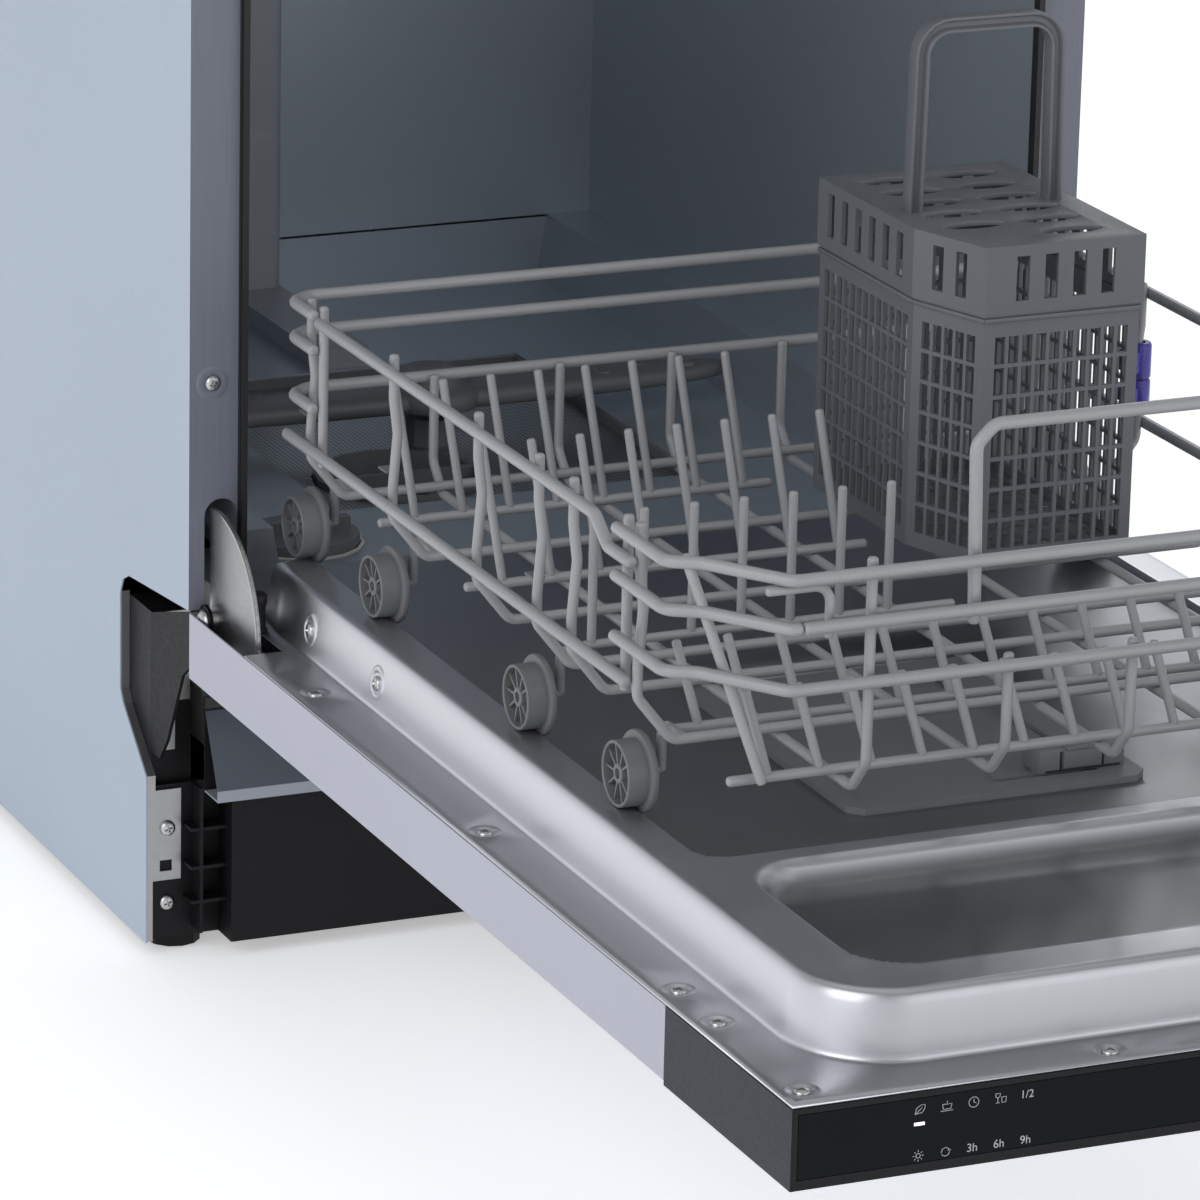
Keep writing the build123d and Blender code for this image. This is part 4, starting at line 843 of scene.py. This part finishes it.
def panel(bm, p0, p1, q0, q1, z0, z1, holes):
    """A wall from p0 to p1 outside and q0 to q1 inside, with its openings."""
    p0, p1, q0, q1 = (Vector((*p, 0)) for p in (p0, p1, q0, q1))
    length, u = (p1 - p0).length, (p1 - p0).normalized()
    shift = q0 - p0
    n = shift - u * shift.dot(u)
    cuts = sorted({0.0, length} | {c + s * w / 2 for c, _, _, w in holes for s in (-1, 1)})
    rows = sorted({z0, z1} | {z for _, a, b, _ in holes for z in (a, b)})
    for a, b in zip(cuts, cuts[1:]):
        for low, high in zip(rows, rows[1:]):
            m, k = (a + b) / 2, (low + high) / 2
            if any(c - w / 2 < m < c + w / 2 and f < k < t for c, f, t, w in holes):
                continue
            far = q1 if b == length else p0 + u * b + n
            base = [p0 + u * a, p0 + u * b, far, q0 if a == 0 else p0 + u * a + n]
            v = [bm.verts.new(at(q.x, q.y, z)) for z in (low, high) for q in base]
            for f in ((3, 2, 1, 0), (4, 5, 6, 7), (0, 1, 5, 4), (1, 2, 6, 5), (2, 3, 7, 6), (3, 0, 4, 7)):
                bm.faces.new([v[i] for i in f])


def merge_cells(bm):
    """Joins the cells of a wall into one skin."""
    bmesh.ops.remove_doubles(bm, verts=bm.verts, dist=1e-6)
    seen = {}
    for f in bm.faces:
        seen.setdefault(frozenset(f.verts), []).append(f)
    bmesh.ops.delete(bm, geom=[f for pair in seen.values() if len(pair) > 1 for f in pair], context="FACES")


def basket_part(name, bm):
    return from_bm(name, bm, "cutlery_basket", "basket_plastic", smooth=False)


def basket():
    x0, x1, y0, y1, z0, z1 = 35.2, 127.8, -246.8, -109.2, DOOR + 64.8, DOOR + 209
    band = z1 - 31
    corners = [(x0 + 15, y0), (x1, y0), (x1, y1), (x0, y1), (x0, y0 + 41)]

    def collar_slots(length):
        count = int((length - 10) / 13.9)
        start = length / 2 - (count - 1) * 13.9 / 2
        return [(start + 13.9 * j, band + 6, z1 - 5, 6.4) for j in range(count)]

    def lattice(length):
        count = max(2, int((length - 9) / 6.2))
        pitch = (length - 9) / count
        high = (band - 9 - z0 - 6) / 7
        return [(4.5 + pitch * (j + 0.5), z0 + 6 + high * row + 0.9, z0 + 6 + high * (row + 1) - 0.9, pitch - 1.7)
                for row in range(7) for j in range(count)]

    bm = bmesh.new()
    walls(bm, corners, band, z1 - 0.1, 2.0, collar_slots)
    merge_cells(bm)
    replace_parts(basket_part("basket_collar", bm), "cutlery_basket")
    bm = bmesh.new()
    walls(bm, inset(corners, 0.1), band - 3.2, band - 1.1, 1.4, lambda length: [])
    soften(basket_part("basket_ledge", bm), 0.4)
    bm = bmesh.new()
    inner = inset(corners, 1.2)
    walls(bm, inner, z0, band + 1.5, 1.8, lattice)
    merge_cells(bm)
    basket_part("basket_lattice", bm)
    slots = [(x0 + 28 + 37 * c, y0 + 17.5 + 20.6 * r, 15.5, 5.6) for c in range(2) for r in range(6)]
    slots = [g for g in slots if not (g[0] < x0 + 40 and g[1] < y0 + 32)]
    drains = [(x0 + 24 + 12 * c, y0 + 20 + 12 * r, 4, 4) for c in range(6) for r in range(9)]
    drains = [g for g in drains if not (g[0] < x0 + 34 and g[1] < y0 + 40)]
    for name, z, thick, outline, gaps in (
        ("basket_top", z1, 2.2, inset(corners, 0.4), slots),
        ("basket_floor", z0 + 2.2, 2.0, inset(inner, 0.3), drains),
    ):
        flat = list(outline)
        loops = [(k, (k + 1) % 5) for k in range(5)]
        for cx, cy, a, b in gaps:
            start = len(flat)
            for k in range(20):
                t = 2 * math.pi * k / 20
                flat.append((cx + a * math.cos(t), cy + b * math.sin(t) * (abs(math.sin(t)) ** 0.25)))
            loops += [(start + k, start + (k + 1) % 20) for k in range(20)]
        points, _, tris, _, _, _ = delaunay_2d_cdt([Vector(p) for p in flat], loops, [], 1, 1e-4)
        bm = bmesh.new()
        made = [bm.verts.new(at(p.x, p.y, z)) for p in points]
        for tri in tris:
            cx, cy = (sum(points[k][a] for k in tri) / 3 for a in (0, 1))
            if any(((cx - g[0]) / g[2]) ** 2 + ((cy - g[1]) / g[3]) ** 2 < 0.9 for g in gaps):
                continue
            bm.faces.new([made[k] for k in tri])
        bmesh.ops.delete(bm, geom=[v for v in bm.verts if not v.link_faces], context="VERTS")
        obj = basket_part(name, bm)
        if sum(p.normal.z for p in obj.data.polygons) < 0:
            obj.data.flip_normals()
        thicken(obj, thick)
        soften(obj, 0.35)
    path = [(47.8, z1 - 8), (49, DOOR + 292), (115, DOOR + 292), (116.2, z1 - 8)]
    line = rounded([Vector((x * MM, 0, z * MM)) for x, z in path], 13 * MM)
    shape = [(-3.4, -3.9), (-3.4, 3.9), (-2.1, 3.9), (-1.2, 1.2), (1.2, 1.2), (2.1, 3.9), (3.4, 3.9), (3.4, -3.9),
             (2.1, -3.9), (1.2, -1.2), (-1.2, -1.2), (-2.1, -3.9)]
    bm = bmesh.new()
    rings = []
    mid = (-178 + FRONT_TO_ROW) * MM
    for k, p in enumerate(line):
        heading = (line[min(k + 1, len(line) - 1)] - line[max(k - 1, 0)]).normalized()
        normal = Vector((-heading.z, 0, heading.x))
        rings.append([bm.verts.new(p + normal * (a * MM) + Vector((0, mid + b * MM, 0))) for a, b in shape])
    skin(bm, rings)
    soften(basket_part("basket_handle", bm), 0.4)


# Small moulded details


def rack_clips():
    """A notched sleeve round the wire with a lug, above a second one that ends in a point."""
    x, y = IN_X, -144
    bm = bmesh.new()
    for z, low in ((DOOR + 120, 1.0), (DOOR + 103, 0.45)):
        profile = [(2.7, -8), (5.5 * low, -8), (5.5, -8 + 9 * (1 - low)), (5.5, 6.8), (4.9, 8), (2.7, 8)]
        lathe(bm, profile, aim(x, y, z), 24, True)
        add_box(bm, x - 9, x - 3.4, y - 6.4, y - 1.2, z - 5 * low, z + 4.8)
        add_box(bm, x - 9, x - 3.4, y + 1.2, y + 6.4, z - 5 * low, z + 4.8)
        add_box(bm, x - 9, x - 6.6, y - 6.4, y + 6.4, z - 2, z + 2)
    obj = from_bm("clip_sleeves", bm, "lower_rack", "clip_plastic")
    soften(obj, 0.4)
    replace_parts(obj, "rack_clips")


def dispenser_catch():
    """The raised catch housing at the dispenser's front right, with its sprung tab and black strips as painted shade
    in the gaps round it.
    """
    z = RAIL - STEP
    for name, slot, spans in (
        ("catch_body", "inner_plastic", [(4, 44, -402, -386, z + 2.6, z + 13)]),
        ("catch_tab", "inner_plastic", [(15, 33, -403.2, -401, z + 4.6, z + 12.4),
                                        (16, 32, -403.6, -388, z + 12.2, z + 14)]),
        # Painted shade: thin black strips on the front face stand in for the gaps round the tab, in the rubber's
        # black finish.
        ("catch_gap_shade", "seal_rubber", [(13.6, 14.6, -402.3, -401.5, z + 3.4, z + 12),
                                       (33.4, 34.4, -402.3, -401.5, z + 3.4, z + 12),
                                       (7, 42, -402.3, -401.5, z + 3.1, z + 4.1)]),
    ):
        bm = bmesh.new()
        for span in spans:
            add_box(bm, *span)
        soften(from_bm(name, bm, "door", slot, smooth=False), 0.25 if slot == "seal_rubber" else 0.6)


# Console


def text(name, words, x, z, size):
    curve = bpy.data.curves.new(name, "FONT")
    curve.body = words
    curve.size = size * MM
    curve.align_x = curve.align_y = "CENTER"
    curve.extrude = 0.02 * MM
    upright = Matrix.Rotation(math.radians(90), 4, "X")
    obj = new_object(name, curve, Matrix.Translation(at(x, FACE_Y - 0.05, z)) @ upright)
    curve.materials.append(M["print"])
    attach(obj, "door")


def icon(name, strokes, x, z):
    """A small sign printed on the fascia, from strokes of (x, z) points in mm."""
    bm = bmesh.new()
    for stroke in strokes:
        add_tube(bm, [at(x + a, FACE_Y - 0.02, z + b) for a, b in stroke], 0.16 * MM, 6, False)
    from_bm(name, bm, "door", "fascia_gloss", "print")


def ring_points(r, n=16, a0=0.0, a1=360.0):
    turns = (math.radians(a0 + (a1 - a0) * k / n) for k in range(n + 1))
    return [(r * math.cos(t), r * math.sin(t)) for t in turns]


def console():
    xs, high, low = (-170.5, -159, -147.7, -136.3, -125), DOOR - 8.2, DOOR - 26.9
    leaf = [(-2, -1.6), (-1.4, 0.8), (0.4, 1.9), (2.2, 2), (2, 0.2), (1, -1.2), (-0.8, -1.4), (-2, -1.6)]
    pot = [(-2, 0.8), (-1.6, -1.2), (1.6, -1.2), (2, 0.8), (-2, 0.8)]
    bowl = [(-2.2, 2), (-2, 0.6), (-1.2, 0.2), (-0.4, 0.6), (-0.2, 2), (-2.2, 2)]
    cup = [(0.4, 0.4), (0.6, -1.8), (2.2, -1.8), (2.4, 0.4), (0.4, 0.4)]
    for k, (name, strokes) in enumerate((
        ("sign_leaf", [leaf, [(-2, -1.6), (1, 0.9)]]),
        ("sign_pot", [pot, [(-2.6, -1.9), (2.6, -1.9)], [(0, 1.3), (0, 2)]]),
        ("sign_clock", [ring_points(2.1), [(0, 1.3), (0, 0), (1, -0.5)]]),
        ("sign_glass", [bowl, [(-1.2, 0.2), (-1.2, -1.8)], [(-2, -1.8), (-0.4, -1.8)], cup]),
    )):
        icon(name, strokes, xs[k], high)
    text("sign_half", "1/2", xs[4], high, 4.6)
    rays = [[(r * math.cos(t), r * math.sin(t)) for r in (1.5, 2.3)] for t in (math.pi * k / 4 for k in range(8))]
    icon("sign_sun", [ring_points(0.9)] + rays, xs[0], low)
    arrow = [(1.0, 0.3), (1.6, 0.9), (2.3, 0.4)]
    icon("sign_turn", [ring_points(1.7, 12, 30, 190), ring_points(1.7, 12, 210, 370), arrow], xs[1], low)
    for x, hours in zip(xs[2:], "369"):
        text(f"sign_{hours}h", hours + "h", x, low, 4.8)
    bm = bmesh.new()
    add_box(bm, xs[0] - 2.2, xs[0] + 2.2, FACE_Y - 0.2, FACE_Y + 0.4, DOOR - 14.5, DOOR - 13.3)
    soften(from_bm("status_lamp", bm, "door", "fascia_gloss", "lamp", False), 0.15)


# Hinges


def hinge_trim():
    """Rolled edge of each hinge arm, the rivet at its foot and a rubber bumper beside it."""
    rivet = [(0, -0.6), (5.6, -0.6), (5.6, 0.7), (5.0, 1.6), (3.4, 2.5), (1.5, 2.9), (0, 3.0)]
    bumper = [(0, -0.4), (5.4, -0.4), (5.4, 1), (4.6, 2), (4.6, 12), (5.2, 13.5), (5.2, 17), (4.4, 18), (0, 18)]
    pivot_y, pivot_z, reach = -9, 185, 50.9
    for side, tag in ((-1, "left"), (1, "right")):
        arc = [(side * 213, pivot_y - reach * math.cos(t), pivot_z + reach * math.sin(t))
               for t in (math.radians(k) for k in range(-6, 91, 6))]
        wires(f"hinge_edge_{tag}", [(arc, 2.4)], "door", "steel_bracket", "screw_steel")
        place = aim(side * 219.6, pivot_y, pivot_z, (side, 0, 0))
        turned(f"hinge_rivet_{tag}", rivet, place, 32, "cabinet", "steel_bracket", "screw_steel")
        turned(f"hinge_bumper_{tag}", bumper, aim(side * 206, -38, DOOR), 28, "door", "seal_rubber")
    ring = [(4.0, 0.02), (4.6, 0.22), (5.6, 0.4), (6.6, 0.34), (7.6, 0.12), (8.2, -0.1)]
    for k, (side, z) in enumerate((s, z) for s in (-1, 1) for z in FOLD_ZS):
        place = aim(side * SCREW_X, 0, DOOR + z, (0, -1, 0))
        turned(f"fold_dimple_{k}", ring, place, 36, "cabinet", "cabinet_paint")


# Spray arms


def spray_arm(name, node, body, z0, z1, reach, hub):
    """Two blades with a crowned top that narrow to round tips, a hub, and raised jets."""
    bm = bmesh.new()
    rings, steps = [], 36
    for k in range(steps + 1):
        s = -1 + 2 * k / steps
        x = reach * s
        half = 17 * (1 - abs(s) ** 6) ** 0.5 * (0.82 + 0.18 * (1 - abs(s))) + 0.2
        mid, tall = (z0 + z1) / 2, (z1 - z0) / 2 * (1 - 0.35 * abs(s) ** 3)
        ring = []
        for c, d in ((math.cos(t), math.sin(t)) for t in (2 * math.pi * j / 16 for j in range(16))):
            y, z = math.copysign(abs(c) ** 0.7, c), math.copysign(abs(d) ** 0.6, d)
            ring.append(bm.verts.new(at(x, ARM_Y + half * y, mid + tall * z)))
        rings.append(ring)
    skin(bm, rings)
    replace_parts(from_bm(name, bm, body, "inner_plastic"), node)
    bm = bmesh.new()
    for x, y in ((-140, 258), (-118, 251), (-95, 259), (-62, 251), (70, 259), (92, 251), (115, 259), (139, 252)):
        jet = [(5.2, -1.2), (4.6, 0.4), (3.6, 0.7), (1.6, 0.7), (1.4, -0.6), (0, -0.8)]
        lathe(bm, jet, aim(x, y, z1 - 0.4), 20)
    lathe(bm, hub, aim(0, ARM_Y, 0))
    from_bm(name + "_jets", bm, body, "inner_plastic")


def sprays():
    hub = [(24, 196), (25, 198), (25, 203), (22, 205.6), (17, 206.4), (16, 208), (16, 212.6), (14.8, 213.8),
           (6, 214), (0, 213.2)]
    spray_arm("lower_arm_blades", "lower_spray_arm", "lower_spray_arm", 194.2, 205.6, 161.5, hub)
    low = UP_FLOOR - 20
    hub = [(r, low + h) for r, h in ((0, 0.2), (8, 0.2), (20, 1.5), (23.5, 4), (23.5, 8), (20, 10.6), (12, 10.9))]
    spray_arm("upper_arm_blades", "upper_spray_arm", "upper_spray_arm", low + 0.2, low + 10.6, 159.5, hub)


for build in (liner, screws, wheels, lower_rack, upper_rack, basket, console, hinge_trim, rack_clips, dispenser_catch,
              sprays):
    build()

# Nodes that keep their shape

LOOK = {
    "cabinet_paint": ["left_side_panel", "right_side_panel"],
    "door_paint": ["door_outer_skin"],
    "kick_paint": ["kick_panel"],
    "tub_steel": ["tub", "latch_striker"],
    "filter": ["filter_plate"],
    "hinge_zinc": ["hinge_brackets"],
    "steel_bracket": ["rear_panel", "top_cover", "worktop_brackets", "corner_brackets", "hinge_arms"],
    "base_plastic": ["base_tray", "levelling_feet"],
    "console_plastic": ["console_housing", "door_latch"],
    "fascia_gloss": ["console_face", "push_button_1", "push_button_2", "push_button_3"],
    "wheel_plastic": ["upper_roller_left", "upper_roller_right"],
    "seal_rubber": ["door_gasket", "door_bottom_seal"],
    "inner_plastic": ["salt_cap", "sump", "filter_cup", "ceiling_sprayer", "upper_arm_hub", "upper_rack_rails",
                      "dispenser_housing", "dispenser_lid", "rinse_aid_cap"],
    "white_plastic": ["water_softener", "side_water_tank", "inlet_valve"],
    "tube_grey": ["supply_tube"],
    "pump_black": ["circulation_pump", "drain_pump"],
    "spring_steel": ["door_springs"],
}
for finish, names in LOOK.items():
    for node_name in names:
        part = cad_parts[node_name]
        part.data.materials.clear()
        part.data.materials.append(M[finish])
        soften(part, 0.6 if finish in ("base_plastic", "inner_plastic", "white_plastic") else 0.3)

# Floor, light and camera

bm = bmesh.new()
size = 30
bm.faces.new([bm.verts.new((size * a, size * b, -0.0005)) for a, b in ((-1, -1), (1, -1), (1, 1), (-1, 1))])
ground = mesh_from("studio_floor", bm)
floor = new_object("studio_floor", ground)
pale = Net("floor_white")
pale.set(Base_Color=pale.mix(pale.span(pale.noise(3.0), 0, 1), (0.93, 0.93, 0.93), (0.95, 0.95, 0.95)), Roughness=0.6)
pale.set(Emission_Color=(1, 1, 1, 1), Emission_Strength=0.4)
ground.materials.append(pale.mat)

world = bpy.data.worlds.new("studio")
bpy.context.scene.world = world
world.use_nodes = True
tree = world.node_tree
tree.nodes.clear()
seen, fill = tree.nodes.new("ShaderNodeBackground"), tree.nodes.new("ShaderNodeBackground")
seen.inputs["Color"].default_value, seen.inputs["Strength"].default_value = (1, 1, 1, 1), 1.0
fill.inputs["Color"].default_value = (0.95, 0.97, 1, 1)
heading, split, ramp, path, either, out = (tree.nodes.new("ShaderNode" + kind) for kind in (
    "TexCoord", "SeparateXYZ", "MapRange", "LightPath", "MixShader", "OutputWorld",
))
for key, number in (("From Min", 0.15), ("From Max", 0.8), ("To Min", 1.0), ("To Max", 0.3)):
    ramp.inputs[key].default_value = number
for source, sink in (
    (heading.outputs["Generated"], split.inputs[0]), (split.outputs[2], ramp.inputs["Value"]),
    (ramp.outputs["Result"], fill.inputs["Strength"]), (path.outputs["Is Camera Ray"], either.inputs[0]),
    (fill.outputs[0], either.inputs[1]), (seen.outputs[0], either.inputs[2]), (either.outputs[0], out.inputs[0]),
):
    tree.links.new(source, sink)


def area(name, place, target, size_x, size_y, power, color=(1, 1, 1)):
    data = bpy.data.lights.new(name, "AREA")
    data.shape = "RECTANGLE"
    data.size, data.size_y, data.energy, data.color = size_x, size_y, power, color
    place, target = Vector(place), Vector(target)
    turn = (target - place).to_track_quat("-Z", "Y").to_matrix().to_4x4()
    new_object(name, data, Matrix.Translation(place) @ turn)


area("key_left", (-2.6, -1.6, 1.9), (0, -0.2, 0.2), 2.4, 2.4, 42, (0.97, 0.99, 1))
area("front_right", (1.2, -2.8, 1.5), (0, 0.1, 0.3), 2.8, 2.2, 13)
area("over", (0.2, -0.2, 2.8), (0, -0.3, 0.2), 3.0, 2.4, 9)
area("behind", (0.6, 2.4, 2.0), (0, 0.2, 0.4), 2.0, 1.6, 16)

bpy.context.scene.view_settings.view_transform = "Standard"

yaw, pitch, roll = 0.4201, 0.3086, 0.0230
ahead = Vector((math.sin(yaw), math.cos(yaw), 0))
right = Vector((math.cos(yaw), -math.sin(yaw), 0))
up = Vector((0, 0, 1))
forward = ahead * math.cos(pitch) - up * math.sin(pitch)
upward = ahead * math.sin(pitch) + up * math.cos(pitch)
tilted_right = right * math.cos(roll) + upward * math.sin(roll)
tilted_up = upward * math.cos(roll) - right * math.sin(roll)
camera_data = bpy.data.cameras.new("camera")
camera_data.lens = 6904.3 / 1200 * 36
camera_data.sensor_width = 36
place = at(-1275.2, -2812.9, 965.1 + DOOR)
columns = (tilted_right, tilted_up, -forward)
seat = Matrix([[c[k] for c in columns] + [place[k]] for k in range(3)] + [[0, 0, 0, 1]])
bpy.context.scene.camera = new_object("camera", camera_data, seat)

bpy.context.view_layer.update()
